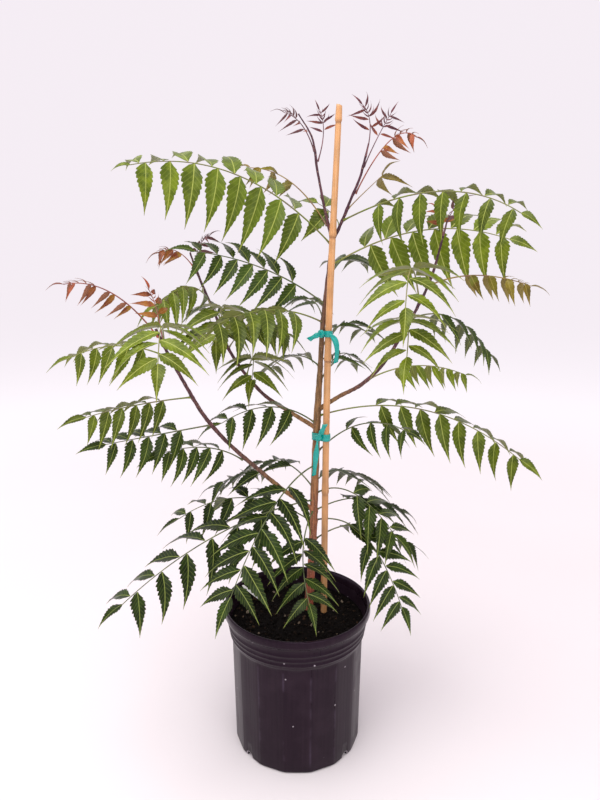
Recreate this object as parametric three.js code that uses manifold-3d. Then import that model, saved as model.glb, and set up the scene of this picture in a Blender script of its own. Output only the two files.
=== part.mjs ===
// Potted neem tree: a young tree in a round nursery pot, tied to a bamboo stake.
// Millimetres, +Z up, front towards -Y. The origin is the centre of the pot's base.
import * as THREE from "three";
import { mergeVertices } from "three/addons/utils/BufferGeometryUtils.js";
import Module from "manifold-3d";

const wasm = await Module();
wasm.setup();

// Clearance between pieces that touch
const GAP = 0.3;

// Pot: sixteen flat panels below a round ribbed collar and a rolled lip
const POT_HEIGHT = 213;
const LIP_RADIUS = 108;
const COLLAR_FOOT = 164;
const BODY_TOP_RADIUS = 95.5;
const BODY_FOOT_RADIUS = 92.5;
const PANELS = 16;
const COLLAR_SIDES = 32;
const COLLAR_OVERHANG = 1.5;
const COLLAR_INSET = 1;
const COLLAR_JOIN = [2, 4, 6];
const WALL = 2.2;
const FLOOR = 3;
const FOOT_CHAMFER = 3;
const RIDGE_HEIGHTS = [172, 180, 188];
const RIDGE_PITCH = 8;
const RIDGE_RISE = 1.6;
const RIDGES_TOP = 192;
const LIP_FOOT = 198;
const LIP_UNDERSIDE = 203;
const LIP_WIDTH = 5;
const LIP_TAPER = 0.5;
const DRAIN_WIDTH = 11;
const DRAIN_HEIGHT = 8;
const DRAIN_DEPTH = 12;
const DRAIN_ANGLES = [48, 180, 312];

// Soil
const SOIL_TOP = 186;
const SOIL_MOUND = 2;
const MOUND_RADIUS = 60;
const HOLE_EASE = 0.1;
const SOIL_EASE = 0.2;

// Stake
const STAKE_RADIUS = 4.85;
const STAKE_TOP_RADIUS = 3.95;
const STAKE_TAPER_SHARE = 0.75;
const STAKE_FOOT = 8;
const STAKE_LINE = [
  [40, 14, STAKE_FOOT], [40, 14, 190], [41, 13, 440], [44, 11, 640], [54, 8, 898],
];
const STAKE_NODE_HEIGHTS = [378, 570, 738, 880];
const STAKE_NODE_RISE = 0.7;
const STAKE_NODE_SHARE = 0.012;
const STAKE_SIDES = 10;

// Woody stems: centre line, then radius at even steps along it
const STEMS = {
  trunk: {
    line: [
      [13, 22, 130], [17, 22, 186], [22, 22, 270], [25, 22, 370], [28, 22, 470],
      [32, 21, 550], [37, 20, 635], [48, 19, 737],
    ],
    radii: [4.5, 7.2, 6, 5.7, 5.4, 5, 3.6, 3.1, 2.5],
    steps: 12,
    sides: 8,
  },
  fork_left: {
    line: [[47, 19, 730], [36, 24, 776], [27, 28, 822], [20, 30, 862], [2, 31, 892]],
    radii: [2.2, 1.8, 1.4, 1],
    steps: 5,
    sides: 5,
  },
  fork_right: {
    line: [[47, 19, 728], [60, 18, 755], [72, 14, 785], [83, 9, 812], [92, 5, 850]],
    radii: [2.2, 1.9, 1.6, 1.2],
    steps: 5,
    sides: 5,
  },
  branch_left: {
    line: [
      [25, 22, 345], [-20, 5, 383], [-55, -12, 420], [-90, -32, 460], [-120, -48, 502],
      [-142, -62, 548], [-160, -74, 590], [-172, -80, 620],
    ],
    radii: [3.4, 3, 2.6, 2.2, 1.5],
    steps: 8,
    sides: 5,
  },
  branch_back: {
    line: [
      [28, 22, 470], [-14, 40, 492], [-54, 56, 517], [-98, 76, 570], [-122, 84, 628],
      [-148, 90, 690], [-157, 90, 718],
    ],
    radii: [3.2, 2.7, 2.3, 1.9, 1.2],
    steps: 8,
    sides: 5,
  },
  branch_right: {
    line: [
      [31, 22, 498], [60, 25, 516], [90, 10, 536], [118, -5, 568], [142, -16, 613],
      [157, -20, 642], [175, -20, 684], [192, -20, 754],
    ],
    radii: [3.2, 2.7, 2.3, 1.9, 1.2],
    steps: 8,
    sides: 5,
  },
};

// Plastic tape round trunk and stake: height, band, and how the loose ends hang from the knot
const TAPE = 1.2;
const KNOT_RADIUS = 6;
const KNOT_DEPTH = 3;
const KNOT_SINK = 1;
const KNOT_FACES = [6, 4];
const TIE_EASE = 0.8;
const TAIL_WIDTH = 7;
const TAIL_STEPS = 4;
const LOOP_POINTS = 16;
const TIES = {
  tie_upper: {
    height: 606,
    band: 10,
    tails: [[[60, -2, 610], [53, 2, 567]], [[28, 3, 606], [16, 8, 598]]],
  },
  tie_lower: {
    height: 459,
    band: 12,
    tails: [[[27, 3, 440], [24, 6, 404]], [[35, 3, 468], [39, 4, 480]]],
  },
};

// Plant label: a blank strip stuck slantwise in the soil
const LABEL = { foot: [-40, 46, 173], size: [1, 9, 60], lean: 50 };

// Leaves: bar is the rachis, bare is its share without leaflets, sweep the leaflets' angle
// to it, droop how far they fold down, in degrees
const BAR_WIDTH = 2.4;
const BAR_DEPTH = 2;
const BLADE_THICKNESS = 0.8;
const WIDTH_SHARE = 0.145;
const PITCH_SHARE = 0.4;
const END_REACH = 0.9;
const SIZE_LEAST = 0.62;
const SIZE_PHASES = [0.25, 0.95];
const STAGGER = { right: 0.16, left: -0.1 };
const LENGTH_SPREAD = 0.06;
const SEED_STEP = 7919;
const FALCATE = 0.12;
const SAG = 0.16;
const DROOP_SPREAD = 7;
const BAR_STEP = 30;
const ROOT_HALF = 1.2;
const SMALL_LEAFLET = 38;
const FRONT_TEETH = [[0.31, 1], [0.36, 0.8], [0.6, 0.78]];
const REAR_TEETH = [[0.4, 0.85]];
const SMALL_TEETH = [[0.35, 0.9]];
const SWINGS = [0, 12, -12, 24, -24, 36, -36];
const CLEARANCE = 1;
const SEAT_STEP = 0.1;
const SEAT_LIMIT = 12;
const LEAF_DEFAULTS = {
  face: [0, 0, 1], droop: 22, bare: 0.22, sweep: 62, hang: 0.5, blade: 60, end: 0.7, slim: 1,
};

// Colours by age, old to young
const TONES = {
  deep: 0x2c4f22,
  dark: 0x35602a,
  green: 0x4a7d2c,
  lime: 0x7fa83a,
  olive: 0x9c9433,
  bronze: 0xb4652f,
  red: 0x8d4440,
};

const LEAVES = [
  // Crown, on the two shoots above the fork
  { name: "crown_left", on: "trunk", at: 727, via: [-84, -20, 811], tip: [-219, -60, 808],
    pairs: 8, blade: 86, face: [0, -1.1, 1], droop: 30, bare: 0.16, hang: 1.2, sweep: 86, end: 0.28,
    tone: "green" },
  { name: "crown_left_back", on: "fork_left", at: 752, via: [-19, 54, 817], tip: [-88, 74, 830],
    pairs: 3, blade: 38, droop: 45, bare: 0.45, tone: "olive" },
  { name: "crown_right", on: "fork_right", at: 758, via: [176, -80, 780], tip: [260, -150, 733],
    pairs: 7, blade: 60, face: [-0.2, -1.1, 1], droop: 35, bare: 0.15, hang: 1, sweep: 92, end: 0.5,
    tone: "green" },
  { name: "crown_right_low", on: "trunk", at: 699, via: [178, 5, 744], tip: [300, -35, 716],
    pairs: 7, blade: 84, face: [0, -1.3, 1], droop: 30, bare: 0.16, hang: 1, sweep: 68, end: 0.45,
    tone: "lime" },
  { name: "crown_middle", on: "fork_right", at: 745, via: [44, 36, 770], tip: [-10, 44, 800],
    pairs: 1, blade: 56, face: [0, -1, 1], droop: 30, bare: 0.4, end: 0.85, sweep: 80, slim: 1.4,
    tone: "green" },
  { name: "crown_right_arch", on: "fork_right", at: 792, via: [124, -5, 856], tip: [160, -15, 840],
    pairs: 3, blade: 28, droop: 60, bare: 0.45, tone: "bronze" },
  { name: "crown_right_slim", on: "fork_right", at: 772, via: [95, 30, 798], tip: [136, 40, 835],
    pairs: 1, blade: 46, droop: 40, bare: 0.8, tone: "olive" },
  { name: "crown_left_tip", on: "fork_left", at: 846, via: [0, 10, 880], tip: [-32, 0, 886],
    pairs: 3, blade: 26, droop: 45, bare: 0.3, slim: 0.6, tone: "red" },
  { name: "crown_left_tip_back", on: "fork_left", at: 834, via: [35, 40, 880], tip: [22, 45, 912],
    pairs: 3, blade: 24, droop: 20, bare: 0.5, face: [0, -1, 0.3], slim: 0.6, tone: "red" },
  { name: "crown_right_tip", on: "fork_right", at: 836, via: [90, -8, 880], tip: [66, -10, 900],
    pairs: 3, blade: 28, droop: 30, bare: 0.4, face: [0, -1, 0.3], slim: 0.6, tone: "red" },
  { name: "crown_right_tip_back", on: "fork_right", at: 824, via: [108, 14, 866], tip: [130, 14, 902],
    pairs: 3, blade: 26, droop: 30, bare: 0.5, face: [0, -1, 0.3], slim: 0.6, tone: "red" },

  // Upper trunk, behind the stake and to both sides
  { name: "upper_left", on: "trunk", at: 648, via: [-60, -5, 699], tip: [-169, -20, 717],
    pairs: 7, blade: 60, face: [0, -1, 1], droop: 20, bare: 0.2, tone: "dark" },
  { name: "upper_front_left", on: "trunk", at: 622, via: [-52, -60, 640], tip: [-135, -135, 600],
    pairs: 6, blade: 76, face: [-0.3, -0.4, 1], droop: 30, bare: 0.24, tone: "green" },
  { name: "upper_back_right", on: "trunk", at: 680, via: [77, 90, 712], tip: [112, 170, 690],
    pairs: 4, blade: 52, droop: 15, tone: "dark" },
  { name: "upper_back_left", on: "trunk", at: 625, via: [20, 90, 650], tip: [-10, 180, 640],
    pairs: 3, blade: 52, droop: 15, tone: "dark" },
  { name: "middle_back_right", on: "trunk", at: 588, via: [75, 85, 615], tip: [125, 160, 580],
    pairs: 4, blade: 50, droop: 15, tone: "dark" },
  { name: "middle_back_left", on: "trunk", at: 560, via: [-11, 90, 565], tip: [-59, 170, 520],
    pairs: 4, blade: 52, droop: 15, tone: "dark" },
  { name: "middle_back", on: "trunk", at: 540, via: [69, 90, 570], tip: [98, 170, 528],
    pairs: 4, blade: 50, droop: 15, tone: "dark" },

  // Right branch
  { name: "right_bronze", on: "branch_right", at: 672, via: [240, -30, 684], tip: [315, -50, 662],
    pairs: 4, blade: 36, droop: 62, bare: 0.3, tone: "olive" },
  { name: "right_front_high", on: "branch_right", at: 650, via: [128, -125, 690], tip: [112, -190, 612],
    pairs: 5, blade: 66, droop: 14, bare: 0.3, hang: 0.2, tone: "lime" },
  { name: "right_front_low", on: "branch_right", at: 600, via: [130, -110, 632], tip: [116, -175, 560],
    pairs: 5, blade: 64, droop: 14, bare: 0.25, hang: 0.2, tone: "lime" },
  { name: "right_dark", on: "branch_right", at: 630, via: [224, 20, 622], tip: [286, 30, 552],
    pairs: 5, blade: 48, droop: 45, tone: "dark" },
  { name: "right_slim", on: "branch_right", at: 545, via: [180, 25, 560], tip: [262, 35, 535],
    pairs: 5, blade: 38, droop: 60, tone: "lime" },
  { name: "right_tip", on: "branch_right", at: 735, via: [200, -30, 770], tip: [222, -35, 776],
    pairs: 3, blade: 26, droop: 20, bare: 0.3, tone: "red" },
  { name: "right_tip_back", on: "branch_right", at: 722, via: [188, 0, 762], tip: [168, 10, 772],
    pairs: 2, blade: 24, droop: 25, bare: 0.4, tone: "bronze" },
  { name: "middle_left", on: "trunk", at: 480, via: [-50, -15, 508], tip: [-130, -35, 468],
    pairs: 4, blade: 58, face: [0, -0.6, 1], droop: 32, tone: "dark" },
  { name: "right_long", on: "trunk", at: 490, via: [184, -15, 502], tip: [311, -80, 430],
    pairs: 8, blade: 62, face: [0, -0.8, 1], droop: 42, bare: 0.24, end: 0.6, tone: "green" },
  { name: "right_inner", on: "trunk", at: 438, via: [100, 12, 480], tip: [160, -80, 478],
    pairs: 4, blade: 50, face: [0, -0.6, 1], droop: 40, tone: "dark" },

  // Back branch
  { name: "back_bronze", on: "branch_back", at: 700, via: [-185, 85, 722], tip: [-215, 80, 702],
    pairs: 3, blade: 34, droop: 40, bare: 0.3, tone: "bronze" },
  { name: "back_tip", on: "branch_back", at: 690, via: [-138, 66, 728], tip: [-106, 50, 744],
    pairs: 3, blade: 28, droop: 30, bare: 0.35, tone: "red" },
  { name: "back_left", on: "branch_back", at: 640, via: [-160, 45, 668], tip: [-215, 10, 615],
    pairs: 5, blade: 64, droop: 40, tone: "lime" },
  { name: "back_front", on: "branch_back", at: 610, via: [-104, 15, 640], tip: [-108, -60, 570],
    pairs: 5, blade: 66, droop: 14, hang: 0.2, tone: "lime" },
  { name: "back_right", on: "branch_back", at: 580, via: [-46, 50, 620], tip: [8, 40, 575],
    pairs: 4, blade: 58, droop: 35, tone: "green" },
  { name: "back_inner", on: "branch_back", at: 540, via: [-60, 5, 572], tip: [-62, -60, 520],
    pairs: 4, blade: 62, droop: 16, hang: 0.2, tone: "green" },
  { name: "back_far", on: "branch_back", at: 595, via: [-140, 150, 640], tip: [-190, 210, 610],
    pairs: 3, blade: 56, droop: 25, tone: "dark" },

  // Left branch
  { name: "left_bronze", on: "branch_left", at: 612, via: [-222, -110, 668], tip: [-283, -120, 668],
    pairs: 4, blade: 30, droop: 62, bare: 0.3, slim: 0.8, tone: "bronze" },
  { name: "left_tip", on: "branch_left", at: 606, via: [-178, -60, 655], tip: [-196, -50, 680],
    pairs: 3, blade: 30, droop: 25, bare: 0.35, tone: "bronze" },
  { name: "left_front", on: "branch_left", at: 600, via: [-150, -150, 625], tip: [-142, -215, 558],
    pairs: 5, blade: 66, droop: 14, bare: 0.25, hang: 0.2, tone: "lime" },
  { name: "left_high", on: "branch_left", at: 586, via: [-222, -110, 602], tip: [-284, -130, 575],
    pairs: 5, blade: 48, face: [0, -0.6, 1], droop: 38, tone: "lime" },
  { name: "left_middle", on: "branch_left", at: 532, via: [-212, -95, 525], tip: [-282, -120, 508],
    pairs: 6, blade: 50, face: [0, -0.6, 1], droop: 38, tone: "green" },
  { name: "left_low", on: "branch_left", at: 492, via: [-201, -70, 480], tip: [-274, -90, 470],
    pairs: 5, blade: 54, face: [0, -0.8, 1], droop: 35, tone: "dark" },
  { name: "left_deep", on: "branch_left", at: 440, via: [-133, -50, 462], tip: [-205, -75, 448],
    pairs: 5, blade: 52, face: [0, -0.6, 1], droop: 35, tone: "dark" },
  { name: "left_inner", on: "branch_left", at: 395, via: [-80, 45, 395], tip: [-150, 60, 350],
    pairs: 4, blade: 54, droop: 20, tone: "deep" },

  // Lower trunk, old leaves round the pot
  { name: "low_left", on: "trunk", at: 330, via: [-95, 20, 365], tip: [-200, 5, 315],
    pairs: 5, blade: 58, face: [0, -0.4, 1], droop: 25, tone: "deep" },
  { name: "low_left_long", on: "trunk", at: 362, via: [-118, -75, 342], tip: [-243, -140, 258],
    pairs: 6, blade: 72, face: [0.1, -0.7, 1], droop: 38, bare: 0.24, end: 0.55, tone: "deep" },
  { name: "low_front_left", on: "trunk", at: 415, via: [-37, -85, 380], tip: [-95, -165, 262],
    pairs: 7, blade: 72, face: [-0.1, -0.5, 1], droop: 18, bare: 0.26, hang: 0.2, tone: "deep" },
  { name: "low_front", on: "trunk", at: 345, via: [8, -60, 305], tip: [26, -125, 240],
    pairs: 5, blade: 58, face: [0, -0.4, 1], droop: 18, bare: 0.3, hang: 0.2, tone: "deep" },
  { name: "low_right", on: "trunk", at: 330, via: [106, 22, 298], tip: [156, -60, 198],
    pairs: 5, blade: 56, face: [0.3, -1, 0.6], droop: 18, bare: 0.4, tone: "deep" },
  { name: "low_right_back", on: "trunk", at: 300, via: [112, 60, 305], tip: [208, 85, 240],
    pairs: 5, blade: 60, droop: 25, tone: "deep" },
  { name: "low_right_high", on: "trunk", at: 372, via: [96, 44, 356], tip: [168, 8, 272],
    pairs: 4, blade: 66, face: [0, -0.5, 1], droop: 20, bare: 0.34, tone: "dark" },
  { name: "low_back_right", on: "trunk", at: 345, via: [112, 88, 338], tip: [196, 130, 280],
    pairs: 5, blade: 62, droop: 15, bare: 0.3, tone: "deep" },
  { name: "low_back", on: "trunk", at: 390, via: [78, 96, 382], tip: [146, 165, 318],
    pairs: 5, blade: 62, droop: 15, tone: "deep" },
  { name: "low_back_left", on: "trunk", at: 380, via: [-40, 110, 395], tip: [-110, 180, 330],
    pairs: 4, blade: 60, droop: 15, tone: "deep" },
];

const WOOD_COLOUR = 0x7a4b33;
const POT_COLOUR = 0x352a38;
const SOIL_COLOUR = 0x2a2320;
const STAKE_COLOUR = 0xdfa56c;
const TAPE_COLOUR = 0x12b3a6;
const LABEL_COLOUR = 0xf2f2ee;

// Point lists to vectors
function vectors(list) {
  return list.map((p) => new THREE.Vector3(...p));
}

// Closed solid of a geometry, faces turned outwards
function solidOf(geometry) {
  geometry.deleteAttribute("normal");
  geometry.deleteAttribute("uv");
  const merged = mergeVertices(geometry, 1e-4);
  const position = merged.attributes.position.array;
  const corners = merged.index.array;
  const kept = [];
  let volume = 0;
  for (let i = 0; i < corners.length; i += 3) {
    const [a, b, c] = [corners[i], corners[i + 1], corners[i + 2]];
    if (a !== b && b !== c && c !== a) {
      kept.push(a, b, c);
      const [p, q, r] = [a, b, c].map((k) => new THREE.Vector3().fromArray(position, 3 * k));
      volume += p.dot(q.cross(r));
    }
  }
  if (volume < 0) {
    kept.reverse();
  }
  return new wasm.Manifold(new wasm.Mesh({
    numProp: 3,
    vertProperties: new Float32Array(position),
    triVerts: new Uint32Array(kept),
  }));
}

// Named mesh of a closed solid
function meshOf(name, solid, colour, roughness) {
  const { vertProperties, triVerts } = solid.getMesh();
  const geometry = new THREE.BufferGeometry();
  geometry.setAttribute("position", new THREE.BufferAttribute(vertProperties, 3));
  geometry.setIndex(new THREE.BufferAttribute(triVerts, 1));
  geometry.computeVertexNormals();
  const material = new THREE.MeshStandardMaterial({ color: colour, roughness, metalness: 0 });
  const mesh = new THREE.Mesh(geometry, material);
  mesh.name = name;
  return mesh;
}

// Solid turned round the upright axis from a profile of radius and height
function turned(profile, sides) {
  const points = profile.map(([radius, height]) => new THREE.Vector2(radius, height));
  const half = Math.PI / sides;
  const geometry = new THREE.LatheGeometry(points, sides, half, 2 * Math.PI);
  geometry.rotateX(Math.PI / 2);
  return solidOf(geometry);
}

// Value at a share of the way along a list of evenly spaced values
function along(values, share) {
  const place = THREE.MathUtils.clamp(share, 0, 1) * (values.length - 1);
  const i = Math.min(Math.floor(place), values.length - 2);
  return THREE.MathUtils.lerp(values[i], values[i + 1], place - i);
}

// Round bar bent along a curve, with its radius given at shares of the way
function bentBar(curve, stations, sides, swell = 0) {
  const profile = stations.map(([share, radius]) => new THREE.Vector2(radius + swell, share));
  const geometry = new THREE.LatheGeometry(
    [new THREE.Vector2(0, 0), ...profile, new THREE.Vector2(0, 1)],
    sides,
  );
  const position = geometry.attributes.position;
  for (let i = 0; i < position.count; i += 1) {
    const share = THREE.MathUtils.clamp(position.getY(i), 0, 1);
    const forward = curve.getTangent(share);
    const side = new THREE.Vector3(0, 1, 0).cross(forward).normalize();
    const other = forward.clone().cross(side);
    const point = curve.getPoint(share);
    point.addScaledVector(side, position.getX(i));
    point.addScaledVector(other, position.getZ(i));
    position.setXYZ(i, point.x, point.y, point.z);
  }
  return solidOf(geometry);
}

function stemCurve(line) {
  return new THREE.CatmullRomCurve3(vectors(line), false, "catmullrom", 0.5);
}

// Pot: panelled body and ribbed collar, hollow, with drain notches at the foot
function makePot() {
  const flat = Math.cos(Math.PI / PANELS);
  const [low, middle, high] = COLLAR_JOIN;
  const bodyOuter = turned([
    [0, 0], [(BODY_FOOT_RADIUS - FOOT_CHAMFER) / flat, 0], [BODY_FOOT_RADIUS / flat, FOOT_CHAMFER],
    [BODY_TOP_RADIUS / flat, COLLAR_FOOT + low], [0, COLLAR_FOOT + low],
  ], PANELS);
  const bodyInner = turned([
    [0, FLOOR], [(BODY_FOOT_RADIUS - WALL) / flat, FLOOR],
    [(BODY_TOP_RADIUS - WALL) / flat, COLLAR_FOOT + high], [0, COLLAR_FOOT + high],
  ], PANELS);
  const collar = [[0, COLLAR_FOOT], [collarRadius(COLLAR_FOOT), COLLAR_FOOT]];
  for (const height of RIDGE_HEIGHTS) {
    collar.push([collarRadius(height), height - RIDGE_PITCH / 2]);
    collar.push([collarRadius(height) + RIDGE_RISE, height]);
  }
  collar.push([collarRadius(RIDGES_TOP), RIDGES_TOP], [LIP_RADIUS - LIP_WIDTH, LIP_FOOT]);
  collar.push([LIP_RADIUS, LIP_UNDERSIDE], [LIP_RADIUS - LIP_TAPER, POT_HEIGHT]);
  collar.push([LIP_RADIUS - LIP_WIDTH, POT_HEIGHT]);
  collar.push([collarRadius(RIDGES_TOP) - WALL, RIDGES_TOP]);
  collar.push([BODY_TOP_RADIUS - COLLAR_INSET, COLLAR_FOOT + middle], [0, COLLAR_FOOT + middle]);
  let pot = bodyOuter.add(turned(collar, COLLAR_SIDES));
  pot = pot.subtract(bodyInner);
  for (const degrees of DRAIN_ANGLES) {
    const notch = new THREE.BoxGeometry(DRAIN_WIDTH, 2 * DRAIN_DEPTH, 2 * DRAIN_HEIGHT);
    notch.translate(0, -BODY_FOOT_RADIUS, 0);
    notch.rotateZ(THREE.MathUtils.degToRad(degrees));
    pot = pot.subtract(solidOf(notch));
  }
  return pot;
}

// Outer radius of the collar between its ridges
function collarRadius(height) {
  const foot = BODY_TOP_RADIUS + COLLAR_OVERHANG;
  return THREE.MathUtils.mapLinear(height, COLLAR_FOOT, LIP_FOOT, foot, LIP_RADIUS - LIP_WIDTH);
}

// Soil fills the pot, less the holes in which the stems stand
function makeSoil(holes) {
  const flat = Math.cos(Math.PI / PANELS);
  const [low, middle] = COLLAR_JOIN;
  const wall = BODY_TOP_RADIUS - WALL - GAP - SOIL_EASE;
  const body = turned([
    [0, FLOOR + GAP], [(BODY_FOOT_RADIUS - WALL - GAP) / flat, FLOOR + GAP],
    [wall / flat, COLLAR_FOOT + middle], [0, COLLAR_FOOT + middle],
  ], PANELS);
  const top = turned([
    [0, COLLAR_FOOT + low], [wall - SOIL_EASE, COLLAR_FOOT + low],
    [collarRadius(SOIL_TOP) - WALL - 2 * GAP, SOIL_TOP], [MOUND_RADIUS, SOIL_TOP + SOIL_MOUND],
    [0, SOIL_TOP + SOIL_MOUND],
  ], COLLAR_SIDES);
  return holes.reduce((soil, hole) => soil.subtract(hole), body.add(top));
}

function stemSolid(stem, swell = 0) {
  const stations = [];
  for (let i = 0; i <= stem.steps; i += 1) {
    stations.push([i / stem.steps, along(stem.radii, i / stem.steps)]);
  }
  return bentBar(stemCurve(stem.line), stations, stem.sides, swell);
}

// Trunk, forks and branches grown as one piece
function makeWood(swell = 0) {
  const stems = Object.values(STEMS).map((stem) => stemSolid(stem, swell));
  return stems.reduce((wood, stem) => wood.add(stem));
}

// Bamboo stake, swollen at its nodes
function makeStake(swell = 0, line = STAKE_LINE) {
  const curve = stemCurve(line);
  const shares = [0, STAKE_TAPER_SHARE, 1];
  const nodes = STAKE_NODE_HEIGHTS.map((height) => shareAtHeight(curve, height));
  for (const share of nodes) {
    shares.push(share - STAKE_NODE_SHARE, share, share + STAKE_NODE_SHARE);
  }
  for (const tie of Object.values(TIES)) {
    shares.push(shareAtHeight(curve, tie.height));
  }
  shares.sort((one, other) => one - other);
  const stations = shares.map((share) => {
    const rise = nodes.includes(share) ? STAKE_NODE_RISE : 0;
    return [share, stakeRadius(share) + rise];
  });
  return bentBar(curve, stations, STAKE_SIDES, swell);
}

// The cane keeps its width up to the upper tape and tapers from there to its top
function stakeRadius(share) {
  const past = Math.max(0, share - STAKE_TAPER_SHARE) / (1 - STAKE_TAPER_SHARE);
  return STAKE_RADIUS + (STAKE_TOP_RADIUS - STAKE_RADIUS) * past;
}

// Share of the way along a rising curve at which it reaches a height
function shareAtHeight(curve, height) {
  let low = 0;
  let high = 1;
  for (let i = 0; i < 40; i += 1) {
    const middle = (low + high) / 2;
    if (curve.getPoint(middle).z < height) {
      low = middle;
    } else {
      high = middle;
    }
  }
  return low;
}

// Tape band round trunk and stake, with a flat knot in front and loose ends
function makeTie(tie) {
  const trunk = stemCurve(STEMS.trunk.line);
  const stake = stemCurve(STAKE_LINE);
  const share = shareAtHeight(trunk, tie.height);
  const centres = [trunk.getPoint(share), stake.getPoint(shareAtHeight(stake, tie.height))];
  const radii = [along(STEMS.trunk.radii, share), STAKE_RADIUS].map((radius) => radius + TIE_EASE);
  const outer = tieBand(centres, radii.map((radius) => radius + TAPE), tie.height, tie.band);
  const inner = tieBand(centres, radii, tie.height, 2 * tie.band);
  const apart = centres[1].clone().sub(centres[0]);
  const front = Math.atan2(-apart.x, apart.y);
  const off = (radii[0] + radii[1]) / 2 + TAPE + KNOT_DEPTH - KNOT_SINK;
  const knotCentre = centres[0].clone().lerp(centres[1], 0.5);
  knotCentre.add(new THREE.Vector3(off * Math.cos(front), off * Math.sin(front), 0));
  const knot = new THREE.SphereGeometry(KNOT_RADIUS, ...KNOT_FACES);
  knot.scale(KNOT_DEPTH / KNOT_RADIUS, 1, 1);
  knot.rotateZ(front);
  knot.translate(...knotCentre.toArray());
  const tails = tie.tails.map((rest) => strip([knotCentre.toArray(), ...rest], TAIL_WIDTH, TAPE));
  return [outer, solidOf(knot), ...tails].reduce((tape, piece) => tape.add(piece)).subtract(inner);
}

function tieBand(centres, radii, height, depth) {
  const outline = loopOutline(centres, radii);
  const geometry = new THREE.ExtrudeGeometry(outline, { depth, bevelEnabled: false });
  geometry.translate(0, 0, height - depth / 2);
  return solidOf(geometry);
}

// Outline of a band pulled round two round bars
function loopOutline(centres, radii) {
  const [a, b] = centres.map((p) => new THREE.Vector2(p.x, p.y));
  const apart = b.clone().sub(a);
  const turn = apart.angle();
  const open = Math.acos((radii[0] - radii[1]) / apart.length());
  const shape = new THREE.Shape();
  shape.absarc(a.x, a.y, radii[0], turn + open, turn - open + 2 * Math.PI, false);
  shape.absarc(b.x, b.y, radii[1], turn - open, turn + open, false);
  shape.closePath();
  return new THREE.Shape(shape.getSpacedPoints(LOOP_POINTS).slice(0, -1));
}

// Flat strip that hangs along three points, its width across the view from the front
function strip(points, width, thickness) {
  const curve = new THREE.QuadraticBezierCurve3(...vectors(points));
  const half = width / 2;
  const section = new THREE.Shape(
    [[-half, -thickness / 2], [half, -thickness / 2], [half, thickness / 2], [-half, thickness / 2]]
      .map(([x, y]) => new THREE.Vector2(x, y)),
  );
  const bar = new THREE.ExtrudeGeometry(section, { depth: 1, steps: TAIL_STEPS, bevelEnabled: false });
  const position = bar.attributes.position;
  for (let i = 0; i < position.count; i += 1) {
    const share = THREE.MathUtils.clamp(position.getZ(i), 0, 1);
    const forward = curve.getTangent(share);
    const across = new THREE.Vector3(0, 1, 0).cross(forward).normalize();
    const out = forward.clone().cross(across);
    const point = curve.getPoint(share);
    point.addScaledVector(across, position.getX(i));
    point.addScaledVector(out, position.getY(i));
    position.setXYZ(i, point.x, point.y, point.z);
  }
  return solidOf(bar);
}

// Blank label strip, slanting out of the soil
function makeLabel(swell = 0) {
  const [thickness, width, length] = LABEL.size.map((side) => side + 2 * swell);
  const strip = new THREE.BoxGeometry(thickness, width, length);
  strip.translate(0, 0, length / 2 - swell);
  strip.rotateY(THREE.MathUtils.degToRad(-LABEL.lean));
  strip.translate(...LABEL.foot);
  return solidOf(strip);
}

// Seeded draw between -1 and 1
function makeDraw(seed) {
  let state = seed;
  return () => {
    state = (state * 16807) % 2147483647;
    return 2 * state / 2147483647 - 1;
  };
}

// Rachis from a start at a distance off the stem's centre line, over one point to its tip
function rachisCurve(leaf, distance) {
  const curve = stemCurve(STEMS[leaf.on].line);
  const share = shareAtHeight(curve, leaf.at);
  const centre = curve.getPoint(share);
  const grain = curve.getTangent(share);
  const [via, tip] = vectors([leaf.via, leaf.tip]);
  const bend = (start) => via.clone().multiplyScalar(2).sub(start.clone().add(tip).multiplyScalar(0.5));
  const heading = bend(centre).sub(centre).normalize();
  const outward = heading.clone().addScaledVector(grain, -heading.dot(grain)).normalize();
  const start = centre.clone().addScaledVector(outward, distance);
  return new THREE.QuadraticBezierCurve3(start, bend(start), tip);
}

// Leaf whose rachis starts where it just clears the swollen wood
function seated(leaf, wood) {
  let distance = 0;
  let placed = leaf;
  do {
    distance += SEAT_STEP;
    const curve = rachisCurve(leaf, distance);
    placed = { ...leaf, curve, whole: curve.getLength() };
    placed.length = placed.whole - END_REACH * leaf.end * leaf.blade;
  } while (distance < SEAT_LIMIT && makeBar(placed).intersect(wood).volume() > 0);
  return placed;
}

// Sizes and places of one leaf's leaflets, before any is swung clear
function layOut(row, index, wood) {
  const leaf = seated({ ...LEAF_DEFAULTS, ...row }, wood);
  const sweep = THREE.MathUtils.degToRad(leaf.sweep);
  const bare = leaf.bare * leaf.length;
  const pitch = (leaf.length - bare) / leaf.pairs;
  const draw = makeDraw(SEED_STEP * (index + 1));
  const leaflets = [];
  for (const side of [1, -1]) {
    for (let i = 0; i < leaf.pairs; i += 1) {
      const phase = THREE.MathUtils.lerp(...SIZE_PHASES, (i + 0.5) / leaf.pairs);
      const size = THREE.MathUtils.lerp(SIZE_LEAST, 1, Math.sin(Math.PI * phase));
      leaflets.push({
        side,
        root: bare + (i + 0.5 + (side < 0 ? STAGGER.right : STAGGER.left)) * pitch,
        length: leaf.blade * size * (1 + LENGTH_SPREAD * draw()),
        droop: leaf.droop + DROOP_SPREAD * draw(),
        swing: 0,
      });
    }
  }
  const end = { side: 0, root: leaf.length, length: leaf.blade * leaf.end, droop: 0, swing: 0 };
  return { ...leaf, sweep, pitch, leaflets, end };
}

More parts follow.
